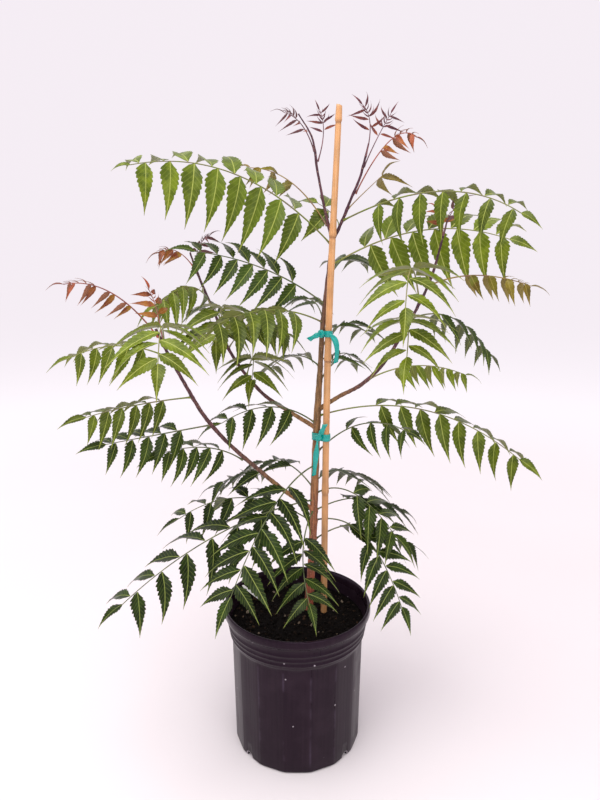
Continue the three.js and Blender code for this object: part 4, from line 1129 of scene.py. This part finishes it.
def make_stage(settings):
    """Floor, soft lights and camera."""
    ends = (-FLOOR_HALF, FLOOR_HALF)
    points = [(x, y, FLOOR_LEVEL * MM) for x in ends for y in ends]
    floor = new_piece("studio_floor", points, [(0, 2, 3, 1)])
    floor.data.materials.append(floor_finish(settings))
    camera = in_scene("camera", bpy.data.cameras.new("camera"))
    camera.data.lens = CAMERA_LENS
    camera.data.clip_end = CAMERA_REACH
    camera.location = [c * MM for c in CAMERA_PLACE]
    camera.rotation_euler = (math.radians(90 - CAMERA_PITCH), 0, 0)
    bpy.context.scene.camera = camera
    for name, place, target, width, watts in LIGHTS:
        light = bpy.data.lights.new(name, "AREA")
        light.energy, light.size = watts * settings.brightness, width
        lamp = in_scene(name, light)
        lamp.location = place
        aim = Vector(target) - Vector(place)
        lamp.rotation_euler = aim.to_track_quat("-Z", "Y").to_euler()
    bpy.context.scene.view_settings.view_transform = "Standard"
    world = bpy.data.worlds.new("studio")
    world.use_nodes = True
    back = world.node_tree.nodes["Background"]
    back.inputs["Color"].default_value = linear("fbf3fa")
    back.inputs["Strength"].default_value = BACKGROUND * settings.brightness
    bpy.context.scene.world = world


# Pot and what stands in it

def panel_reach(angle, soft):
    """How far a rounded many-sided wall stands out at an angle, against its flats."""
    step = 2 * math.pi / PANELS
    off = (angle + math.pi / 2 + step / 2) % step - step / 2
    return 1 + (1 / math.cos(off) - 1) * (1 - soft * (off / step * 2) ** 4)


def pot_profile():
    """Radius, height and panel share up the outside, over the lip and down the inside."""
    outside = [
        (86, 0, 1), (89.5, 0, 1), (91.3, 0.6, 1), (92.2, 1.6, 1), (92.5, 3.2, 1), (92.9, 25, 1),
        (93.4, 55, 1), (94.1, 95, 1), (94.8, 130, 1), (95.2, 152, 1), (95.3, 160, 1),
        (95.6, 163, 0.7), (96.4, 164.6, 0.2), (97, 165.4, 0),
    ]
    for height in RIDGES:
        wall = COLLAR_RADIUS + (height - COLLAR_FOOT) / COLLAR_HEIGHT * COLLAR_SPREAD
        outside += [(wall + out, height + up, 0) for out, up in RIDGE_SHAPE]
    outside += [
        (101.9, 192.4, 0), (102.6, 196.5, 0), (103.4, 198.6, 0), (106.4, 201.2, 0),
        (107.6, 202.6, 0), (107.9, 204.2, 0), (107.8, 208, 0), (107.5, 211.2, 0),
        (106.9, 212.5, 0), (105.6, 213, 0), (104.3, 212.7, 0), (103.3, 211.4, 0),
    ]
    inside = [
        (102.2, 205, 0), (101, 198, 0), (99.7, 192, 0), (98.4, 186, 0), (97, 180, 0),
        (95.4, 172, 0), (94.6, 168, 0.3), (93.2, 164, 1), (92.4, 120, 1), (90.4, 6, 1),
        (88, 3.2, 1),
    ]
    return outside + inside


def make_pot(settings):
    """Blow-moulded nursery pot with rounded panels, fine ribs and a rolled lip."""
    count = PANEL_STEPS * PANELS
    angles = np.linspace(0, 2 * np.pi, count, endpoint=False)
    profile = pot_profile()
    points = []
    for radius, height, share in profile:
        for angle in angles:
            reach = radius * (1 + share * (panel_reach(angle, settings.panel_softness) - 1))
            points.append((reach * math.cos(angle) * MM, reach * math.sin(angle) * MM, height * MM))
    rings = len(profile)
    faces = ring_faces(rings, count, caps=False)
    centres = len(points)
    points += [(0, 0, 0), (0, 0, FLOOR * MM)]
    for i in range(count):
        j = (i + 1) % count
        faces.append((centres, j, i))
        faces.append((centres + 1, (rings - 1) * count + i, (rings - 1) * count + j))
    pot = new_piece("pot_moulded", points, faces)
    cutters = []
    for degrees in DRAIN_ANGLES:
        cutter = drain_hole()
        for vertex in cutter.data.vertices:
            x, y, z = vertex.co
            vertex.co = (*turned(x, y, math.radians(degrees)), z)
        cutters.append(cutter)
    cut(pot, cutters, "DIFFERENCE")
    settle(pot, pot_finish(settings), "pot_plastic", "pot")


def drain_hole():
    """Rounded arch that is cut through the foot of the wall."""
    outline = [(-HOLE_HALF, HOLE_FOOT), (HOLE_HALF, HOLE_FOOT)]
    for angle in np.linspace(0, math.pi, 9):
        outline.append((HOLE_HALF * math.cos(angle), HOLE_SPRING + HOLE_ARCH * math.sin(angle)))
    points = [(x * MM, y * MM, z * MM) for y in HOLE_DEPTHS for x, z in outline]
    count = len(outline)
    faces = [tuple(range(count)), tuple(reversed(range(count, 2 * count)))]
    for i in range(count):
        j = (i + 1) % count
        faces.append((i, i + count, j + count, j))
    return new_piece("cutter", points, faces, smooth=False)


def cut(piece, tools, operation):
    """Applies a boolean with each tool in turn, and removes the tools."""
    for tool in tools:
        modifier = piece.modifiers.new("Cut", "BOOLEAN")
        modifier.operation = operation
        modifier.solver = "EXACT"
        modifier.object = tool
        piece.data = applied(piece, modifier)
        bpy.data.objects.remove(tool)


SOIL_SIDES = 120
SOIL_RINGS = 44
SOIL_REACH = 98
SOIL_FOOT = ((93, 168), (91, 160), (89, 3.6))
GROUND_SIDES = 60
GROUND_RINGS = 30
GROUND_INNER = 4
GROUND_WIDE = 91
GROUND_LIFT = 0.3
CRUMB_SEED = 5


def soil_height(x, y):
    """Height of the soil's lumpy top at a place, in millimetres."""
    far = math.hypot(x, y) / 96
    lumps = noise.noise((x / 11, y / 11, 3.1)) * 1.3 + noise.noise((x / 4, y / 4, 7.7)) * 0.7
    return SOIL_TOP + 1.6 * (1 - far ** 2) + lumps * 0.6 - 0.7


def make_soil(settings):
    """Potting mix with a lumpy top, down to the pot's floor."""
    points = [(0, 0, soil_height(0, 0) * MM)]
    for ring in range(1, SOIL_RINGS + 1):
        points += circle(SOIL_REACH * ring / SOIL_RINGS, SOIL_SIDES, soil_height)
    for radius, height in SOIL_FOOT:
        points += circle(radius, SOIL_SIDES, height)
    points.append((0, 0, SOIL_FOOT[-1][1] * MM))
    faces = ring_faces(SOIL_RINGS + len(SOIL_FOOT), SOIL_SIDES, caps=False, inward=True, start=1)
    last = len(points) - 1 - SOIL_SIDES
    for i in range(SOIL_SIDES):
        j = (i + 1) % SOIL_SIDES
        faces += [(0, 1 + i, 1 + j), (len(points) - 1, last + j, last + i)]
    soil = new_piece("soil_bed", points, faces)
    settle(soil, soil_finish(settings), "soil", "soil")


def make_crumbs(settings):
    """Loose crumbs, chips and perlite scattered on the soil."""
    ground = new_ground()
    grain = crumb_template()
    tree = crumb_growth()
    crumbs = grown("soil_crumbs", ground, tree, {
        "Grain": grain, "Density": settings.crumbs, "Size": settings.crumb_size, "Seed": CRUMB_SEED,
        "Finish": crumb_finish(),
    })
    bpy.data.objects.remove(grain)
    settle(crumbs, None, "soil")


def new_ground():
    """Disc of the soil's top on which crumbs lie, clear of the wall."""
    points = []
    for ring in range(GROUND_RINGS):
        radius = GROUND_INNER + GROUND_WIDE * ring / (GROUND_RINGS - 1)
        points += circle(radius, GROUND_SIDES, lambda x, y: soil_height(x, y) + GROUND_LIFT)
    mesh = bpy.data.meshes.new("ground")
    mesh.from_pydata(points, [], ring_faces(GROUND_RINGS, GROUND_SIDES, caps=False, inward=True))
    return mesh


def crumb_template():
    """One broken crumb with a few flat faces."""
    points = []
    for ring, (height, reach) in enumerate(((-0.42, 0.6), (0.1, 1), (0.5, 0.55))):
        for i in range(5):
            angle = 2 * math.pi * (i + 0.3 * ring) / 5
            wide = reach * (1 + 0.25 * math.sin(7.3 * i + 2.1 * ring))
            points.append((wide * math.cos(angle), 0.8 * wide * math.sin(angle), height))
    return new_piece("crumb", points, ring_faces(3, 5), smooth=False)


def crumb_growth():
    """Geometry tree that scatters crumbs over the soil's top."""
    tree, given = new_growth("Crumbs on soil", [
        ("Grain", "NodeSocketObject"), ("Density", "NodeSocketFloat"), ("Size", "NodeSocketFloat"),
        ("Seed", "NodeSocketInt"), ("Finish", "NodeSocketMaterial"),
    ])
    spread = add(
        tree, "GeometryNodeDistributePointsOnFaces", Mesh=given["Geometry"],
        Density=given["Density"], Seed=given["Seed"],
    )
    share = add(tree, "FunctionNodeRandomValue", Seed=given["Seed"])
    small = add(tree, "Math POWER", share, 3)
    small = add(tree, "Math MULTIPLY_ADD", small, 1.7, 0.35)
    size = add(tree, "Math MULTIPLY", small, given["Size"])
    turn = add(tree, "FunctionNodeRandomValue FLOAT_VECTOR", Max=(6.3, 6.3, 6.3), Seed=9)
    grain = add(tree, "GeometryNodeObjectInfo", Object=given["Grain"])
    tinted = add(
        tree, "GeometryNodeStoreNamedAttribute", Geometry=spread.outputs["Points"], Name="tint",
        Value=add(tree, "FunctionNodeRandomValue", Seed=21),
    )
    placed = add(
        tree, "GeometryNodeInstanceOnPoints", Points=tinted, Instance=grain.outputs["Geometry"],
        Rotation=turn, Scale=size,
    )
    made = add(tree, "GeometryNodeRealizeInstances", placed)
    add(
        tree, "NodeGroupOutput",
        Geometry=add(tree, "GeometryNodeSetMaterial", Geometry=made, Material=given["Finish"]),
    )
    return tree


def make_label(settings):
    """Blank plant label, thin, rounded at the top and a little bowed."""
    thick, wide, long = LABEL_SIZE
    rows, columns = 28, 8
    points = []
    for face in (-1, 1):
        for row in range(rows + 1):
            up = row / rows * long
            near = max(0.0, up - (long - wide / 2)) / (wide / 2)
            half = wide / 2 * math.sqrt(max(0.0, 1 - min(1, near) ** 2 * 0.96))
            for column in range(columns + 1):
                y = (2 * column / columns - 1) * half
                edge = 1 - max(abs(2 * column / columns - 1) ** 8, 0.9 * (row == rows))
                bow = 0.35 * math.sin(math.pi * up / long)
                x = face * thick / 2 * (0.35 + 0.55 * edge) * 0.8 + bow * 0.4
                points.append((x, y, up))
    faces, _ = sheet_faces(rows + 1, columns + 1)
    placed = []
    for x, y, z in points:
        x, z = turned(x, z, math.radians(LABEL_LEAN))
        placed.append([(c + foot) * MM for c, foot in zip((x, y, z), LABEL_FOOT)])
    label = new_piece("label_strip", placed, faces)
    settle(label, label_finish(settings), "label_plastic", "label")


# Stake and ties

def make_stake(settings):
    """Bamboo cane with swollen joints and a slanting cut top."""
    sides = STAKE_SIDES
    shares = np.linspace(0, 1, STAKE_RINGS)
    centres = catmull(STAKE_LINE, shares)
    nodes = [share_at_height(STAKE_LINE, height) for height in STAKE_NODES]
    radii, scars = [], []
    for share in shares:
        past = max(0.0, share - STAKE_TAPER_SHARE) / (1 - STAKE_TAPER_SHARE)
        taper = (STAKE_TOP_RADIUS - STAKE_RADIUS) * past
        radius, scar = settings.stake_radius / MM - 0.12 + taper, 0.0
        for node in nodes:
            off = (share - node) * STAKE_LENGTH
            radius += 0.75 * math.exp(-(off / 2.2) ** 2) + 0.35 * math.exp(-((off - 6) / 5) ** 2)
            radius -= 0.35 * math.exp(-((off + 3.4) / 1.4) ** 2)
            scar = max(scar, math.exp(-((off + 3) / 1.3) ** 2))
        radii.append(min(radius, STAKE_RADIUS + taper + 0.7))
        scars.append(scar * 0.8)

    def rough(point, angle):
        return 0.1 * noise.noise((math.cos(angle) * 2, math.sin(angle) * 2, point[2] / 60))

    points, faces = tube(centres, radii, sides, rough)
    # The cut slants across the top, and the cane is hollow there
    slant = points[-sides:, 0] - centres[-1][0]
    points[-sides:, 2] -= 1.5 + 0.28 * slant
    points[-2 * sides:-sides, 2] -= 1.2
    rim = points[-sides:]
    middle = rim.mean(axis=0)
    hollow = [middle + (rim - middle) * 0.62, middle + (rim - middle) * 0.55 - (0, 0, 5)]
    faces.pop()
    start = len(points)
    points = np.vstack([points, *hollow])
    faces += ring_faces(3, sides, caps=False, start=start - sides)
    faces.append(tuple(range(start + sides, start + 2 * sides)))
    stake = new_piece("stake_cane", points * MM, faces)
    scar = np.repeat(scars, sides).tolist() + [0.9] * (2 * sides)
    keep(stake.data, "scar", scar)
    settle(stake, bamboo_finish(settings), "bamboo", "stake")


def loop_outline(centres, radii, count):
    """Points round a band pulled about two round stems."""
    a, b = (np.array(centre[:2]) for centre in centres)
    apart = b - a
    turn = math.atan2(apart[1], apart[0])
    opening = math.acos((radii[0] - radii[1]) / np.linalg.norm(apart))
    points = []
    for centre, radius, start, end in (
        (a, radii[0], turn + opening, turn - opening + 2 * math.pi),
        (b, radii[1], turn - opening, turn + opening),
    ):
        for angle in np.linspace(start, end, 40):
            points.append(centre + radius * np.array([math.cos(angle), math.sin(angle)]))
    points = np.array(points + [points[0]])
    steps = np.concatenate([[0], np.cumsum(np.linalg.norm(np.diff(points, axis=0), axis=1))])
    wanted = np.linspace(0, steps[-1], count, endpoint=False)
    return np.stack([np.interp(wanted, steps, points[:, i]) for i in (0, 1)], axis=1)


def tie_frame(tie):
    """Centres and radii of the two stems in a tie, and the middle of its knot."""
    height = tie["height"]
    share = share_at_height(STEMS["trunk"]["line"], height)
    trunk = catmull(STEMS["trunk"]["line"], share)[0]
    stake = catmull(STAKE_LINE, share_at_height(STAKE_LINE, height))[0]
    radii = STEMS["trunk"]["radii"]
    radius = np.interp(share * (len(radii) - 1), range(len(radii)), radii)
    apart = stake - trunk
    front = math.atan2(-apart[0], apart[1])
    off = (radius + STAKE_RADIUS) / 2 + 0.8 + 1.2 + 2
    knot = (trunk + stake) / 2 + off * np.array([math.cos(front), math.sin(front), 0])
    return (trunk, stake), (radius + 0.8, STAKE_RADIUS + 0.8), knot, front


def tie_band(tie, centres, radii):
    """Creased band of film, thick enough to show its edge."""
    count, rows = 90, 9
    height, deep = tie["height"], tie["band"]
    points = []
    for face in (0, 1):
        outline = loop_outline(centres, radii, count)
        middle = outline.mean(axis=0)
        for row in range(rows):
            share = row / (rows - 1)
            for x, y in outline:
                out = unit(np.array([x, y]) - middle)
                crease = noise.noise((x / 9, y / 9, share * 4.2 + height))
                gather = math.sin(share * 3 * math.pi + x / 14) * 0.22
                lift = 0.12 + face * (0.45 + 0.4 * crease + gather * 0.6)
                z = height + (share - 0.5) * deep * (0.86 + 0.1 * crease)
                points.append((x + out[0] * lift, y + out[1] * lift, z))
    under, top = count * rows, count * (rows - 1)
    faces = ring_faces(rows, count, caps=False, inward=True)
    faces += ring_faces(rows, count, caps=False, start=under)
    for i in range(count):
        j = (i + 1) % count
        faces.append((i, j, j + under, i + under))
        faces.append((top + j, top + i, top + i + under, top + j + under))
    return np.array(points), faces


def tie_knot(knot, front):
    """Knot drawn tight, with folds that run into its middle."""
    rows, count = 15, 28
    points = []
    for row in range(rows):
        polar = math.pi * (row + 0.5) / rows
        for i in range(count):
            angle = 2 * math.pi * i / count
            fold = 1 + 0.16 * math.sin(5 * angle + 2 * math.cos(polar)) * math.sin(polar)
            fold += 0.12 * noise.noise((math.cos(angle) * 2, math.sin(angle) * 2, 3 * polar))
            x = KNOT_DEPTH * math.sin(polar) * math.cos(angle)
            y = KNOT_HALF * math.sin(polar) * math.sin(angle) * fold
            z = KNOT_HALF * math.cos(polar) * fold * 0.96
            x *= 1 - 0.35 * math.exp(-((y / 2) ** 2 + (z / 2) ** 2) / 2)
            points.append(knot + (*turned(x, y, front), z))
    return np.array(points), ring_faces(rows, count, inward=True)


def tie_tail(knot, rest, number):
    """Loose end of film that narrows to the knot, curls across and hangs."""
    along_count, across_count = 26, 8
    start, via, end = np.array(knot), *(np.array(p, float) for p in rest)
    points = []
    for face in (1, -1):
        for i in range(along_count):
            t = i / (along_count - 1)
            centre = (1 - t) ** 2 * start + 2 * t * (1 - t) * via + t * t * end
            forward = unit(2 * (1 - t) * (via - start) + 2 * t * (end - via))
            across = unit(np.cross((0, 1, 0), forward))
            out = np.cross(forward, across)
            half = TAIL_HALF * (0.3 + 0.7 * min(1, t * 2.2)) * (1 - 0.18 * math.sin(9 * t + number))
            for j in range(across_count + 1):
                place = 2 * j / across_count - 1
                curl = 1.1 * place ** 2 - 0.4 + 0.5 * math.sin(4 * place + 5 * t + number)
                edge = 0.5 if abs(place) < 1 else 0.2
                skew = 1.6 * place * (i == along_count - 1)
                point = centre + across * place * half + forward * skew
                points.append(point + out * (curl * 0.6 * min(1, 2 * t) + face * edge * 0.3))
    return np.array(points), sheet_faces(along_count, across_count + 1)[0]


def make_ties(settings):
    """Two ties of teal film, each a band, a knot and loose ends."""
    finish = film_finish(settings)
    for name, tie in TIES.items():
        centres, radii, knot, front = tie_frame(tie)
        parts = [tie_band(tie, centres, radii), tie_knot(knot, front)]
        parts += [tie_tail(knot, rest, i) for i, rest in enumerate(tie["tails"])]
        points, faces = [], []
        for part_points, part_faces in parts:
            start = sum(len(p) for p in points)
            points.append(part_points)
            faces += [tuple(i + start for i in face) for face in part_faces]
        piece = new_piece(name.replace("tie", "film"), np.vstack(points) * MM, faces)
        outward(piece.data)
        settle(piece, finish, "tie_tape", name)


def outward(mesh):
    """Turns the faces of closed shells outwards."""
    shells = bmesh.new()
    shells.from_mesh(mesh)
    bmesh.ops.recalc_face_normals(shells, faces=shells.faces)
    shells.to_mesh(mesh)
    shells.free()


# Trunk and branches

def stem_tube(name, stem, settings):
    """One stem as a rough closed tube, flared where it leaves its parent."""
    line, radii = stem["line"], stem["radii"]
    steps = np.linalg.norm(np.diff(catmull(line, np.linspace(0, 1, 201)), axis=0), axis=1)
    length = steps.sum()
    rings = int(length / STEM_STEP)
    shares = np.linspace(0, 1, rings)
    centres = catmull(line, shares)
    plain = np.interp(shares * (len(radii) - 1), range(len(radii)), radii)
    reach = shares * length
    scars = [row[2] for row in LEAVES if row[1] == name]
    sizes = []
    for radius, centre, at in zip(plain, centres, reach):
        size = radius * (1 + 0.25 * math.exp(-(at / 9) ** 2) * (name != "trunk"))
        for scar in scars:
            size += 0.35 * math.exp(-((centre[2] - scar + 1.5) / 3) ** 2)
        sizes.append(size)
    bumps = settings.bark_relief / MM

    def rough(point, angle):
        x, y, z = point
        fine = noise.noise((x / 2.2, y / 2.2, z / 9)) * 0.45 * bumps
        broad = noise.noise((x / 7, y / 7, z / 26)) * 0.5 * bumps
        return fine + broad

    points, faces = tube(centres, sizes, STEM_SIDES, rough)
    return new_piece(name, points * MM, faces)


def make_wood(settings):
    """Trunk, fork and branches grown together as one skin."""
    stems = [stem_tube(name, stem, settings) for name, stem in STEMS.items()]
    wood, rest = stems[0], stems[1:]
    wood.name = "wood_bark"
    cut(wood, rest, "UNION")
    wood.data.shade_smooth()
    settle(wood, bark_finish(settings), "bark", "wood")


def make_leaves(settings):
    """All leaves, each one piece that stands for its solid."""
    coarse = blade_template("old_blade", settings.teeth, settings.tooth_depth)
    broad = blade_template("broad_blade", settings.teeth, settings.tooth_depth * 0.7)
    young = blade_template("young_blade", 5, settings.tooth_depth * 0.5)
    tree = leaf_growth()
    blades = {tone: blade_finish(tone, settings) for tone in TONES}
    stalks = {tone: rachis_finish(tone) for tone in TONES}
    for index, row in enumerate(LEAVES):
        node = "leaf_" + row[0]
        corners = [vertex.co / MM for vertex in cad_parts[node].data.vertices]
        leaf = read_leaf(index, corners)
        grown_up = coarse if leaf["tone"] in ("deep", "dark") else broad
        piece = grown("foliage_" + row[0], leaf_skeleton(leaf, settings), tree, {
            "Blade": young if leaf["blade"] < YOUNG_BLADE else grown_up,
            "Fold": math.tan(settings.fold), "Ripple": settings.ripple, "Seed": index,
            "Blade finish": blades[leaf["tone"]], "Rachis finish": stalks[leaf["tone"]],
        })
        spent = set(LEAF_NUMBERS) - {"tint", "ripe"}
        forget(piece.data, ("shape", "weights", *LEAF_VECTORS, *spent))
        settle(piece, None, "leaf_" + leaf["tone"], node)
    for template in (coarse, broad, young):
        bpy.data.objects.remove(template)


# Settings, operators and panel

class NeemLeafSettings(PropertyGroup):
    teeth: IntProperty(
        name="Teeth", description="Teeth along each edge of a grown leaflet",
        default=10, min=3, max=16)
    tooth_depth: FloatProperty(
        name="Tooth depth", description="Depth of the teeth as a share of the half width",
        default=0.15, min=0, max=0.4, subtype="FACTOR")
    veins: FloatProperty(
        name="Veins", description="Side veins along each half of a leaflet",
        default=11, min=4, max=20)
    fold: FloatProperty(
        name="Fold", description="How far each half of a blade is folded up along its rib",
        default=math.radians(17), min=0, max=1, unit="ROTATION")
    ripple: FloatProperty(
        name="Ripple", description="Height of the waves in a blade",
        default=2.2 * MM, unit="LENGTH")
    rachis_foot: FloatProperty(
        name="Stalk at its foot", description="Width of a leaf stalk where it leaves the stem",
        default=2.3 * MM, unit="LENGTH")
    rachis_tip: FloatProperty(
        name="Stalk at its tip", description="Width of a leaf stalk at its last leaflet",
        default=1.1 * MM, unit="LENGTH")


class NeemWoodSettings(PropertyGroup):
    bark_relief: FloatProperty(
        name="Bark relief", description="Depth of the splits and knobs of the bark",
        default=0.9 * MM, unit="LENGTH")
    stake_radius: FloatProperty(
        name="Stake radius", description="Radius of the bamboo cane between its joints",
        default=STAKE_RADIUS * MM, unit="LENGTH")
    stake_colour: FloatVectorProperty(
        name="Stake colour", description="Main colour of the bamboo cane", size=3, subtype="COLOR",
        default=linear("dfa56c")[:3])
    tie_colour: FloatVectorProperty(
        name="Tie colour", description="Colour of the tying film", size=3, subtype="COLOR",
        default=linear("08c4b6")[:3])


class NeemPotSettings(PropertyGroup):
    pot_colour: FloatVectorProperty(
        name="Pot colour", description="Colour of the pot's plastic", size=3, subtype="COLOR",
        default=linear("140c12")[:3])
    panel_softness: FloatProperty(
        name="Panel softness", description="How rounded the edges between the pot's panels are",
        default=0.36, min=0, max=1, subtype="FACTOR")
    soil_colour: FloatVectorProperty(
        name="Soil colour", description="Main colour of the potting mix", size=3, subtype="COLOR",
        default=linear("080504")[:3])
    crumb_size: FloatProperty(
        name="Crumb size", description="Half the width of the largest crumbs",
        default=1.9 * MM, unit="LENGTH")
    crumbs: FloatProperty(
        name="Crumbs", description="Loose crumbs on each square metre of soil",
        default=60000, min=0)
    label_colour: FloatVectorProperty(
        name="Label colour", description="Colour of the blank plant label", size=3, subtype="COLOR",
        default=linear("f2f2ee")[:3])


class NeemStageSettings(PropertyGroup):
    brightness: FloatProperty(
        name="Brightness", description="Strength of all the studio lights", default=1, min=0)
    floor_colour: FloatVectorProperty(
        name="Floor colour", description="Colour of the studio floor", size=3, subtype="COLOR",
        default=linear("e9e3e4")[:3])


class NEEM_OT_stage(Operator):
    """Add the floor, the lights and the camera"""
    bl_idname = "neem.stage"
    bl_label = "Studio"

    def execute(self, context):
        make_stage(context.scene.neem_stage)
        return {"FINISHED"}


class NEEM_OT_pot(Operator):
    """Mould the nursery pot"""
    bl_idname = "neem.pot"
    bl_label = "Pot"

    def execute(self, context):
        make_pot(context.scene.neem_pot)
        return {"FINISHED"}


class NEEM_OT_soil(Operator):
    """Fill the pot with soil and strew loose crumbs over it"""
    bl_idname = "neem.soil"
    bl_label = "Soil"

    def execute(self, context):
        make_soil(context.scene.neem_pot)
        make_crumbs(context.scene.neem_pot)
        return {"FINISHED"}


class NEEM_OT_label(Operator):
    """Put the blank plant label in the soil"""
    bl_idname = "neem.label"
    bl_label = "Plant label"

    def execute(self, context):
        make_label(context.scene.neem_pot)
        return {"FINISHED"}


class NEEM_OT_stake(Operator):
    """Stand the bamboo cane in the soil"""
    bl_idname = "neem.stake"
    bl_label = "Stake"

    def execute(self, context):
        make_stake(context.scene.neem_wood)
        return {"FINISHED"}


class NEEM_OT_ties(Operator):
    """Tie the trunk to the stake"""
    bl_idname = "neem.ties"
    bl_label = "Ties"

    def execute(self, context):
        make_ties(context.scene.neem_wood)
        return {"FINISHED"}


class NEEM_OT_wood(Operator):
    """Grow the trunk and its branches"""
    bl_idname = "neem.wood"
    bl_label = "Trunk and branches"

    def execute(self, context):
        make_wood(context.scene.neem_wood)
        return {"FINISHED"}


class NEEM_OT_leaves(Operator):
    """Grow every leaf on its stalk"""
    bl_idname = "neem.leaves"
    bl_label = "Leaves"

    def execute(self, context):
        make_leaves(context.scene.neem_leaves)
        return {"FINISHED"}


OPERATORS = (
    NEEM_OT_stage, NEEM_OT_pot, NEEM_OT_soil, NEEM_OT_label, NEEM_OT_stake, NEEM_OT_ties,
    NEEM_OT_wood, NEEM_OT_leaves,
)
SETTINGS = {
    "neem_leaves": NeemLeafSettings,
    "neem_wood": NeemWoodSettings,
    "neem_pot": NeemPotSettings,
    "neem_stage": NeemStageSettings,
}


class NEEM_PT_panel(Panel):
    bl_label = "Neem tree"
    bl_idname = "NEEM_PT_panel"
    bl_space_type = "VIEW_3D"
    bl_region_type = "UI"
    bl_category = "Neem tree"

    def draw(self, context):
        layout = self.layout
        for name in SETTINGS:
            box = layout.box()
            group = getattr(context.scene, name)
            for key in group.__annotations__:
                box.prop(group, key)
        for operator in OPERATORS:
            layout.operator(operator.bl_idname)


CLASSES = (*SETTINGS.values(), *OPERATORS, NEEM_PT_panel)


def register():
    for made in CLASSES:
        bpy.utils.register_class(made)
    for name, group in SETTINGS.items():
        setattr(bpy.types.Scene, name, PointerProperty(type=group))


def unregister():
    for name in SETTINGS:
        delattr(bpy.types.Scene, name)
    for made in reversed(CLASSES):
        bpy.utils.unregister_class(made)


def main():
    register()
    for operator in OPERATORS:
        group, name = operator.bl_idname.split(".")
        getattr(getattr(bpy.ops, group), name)()


if __name__ == "__main__":
    main()
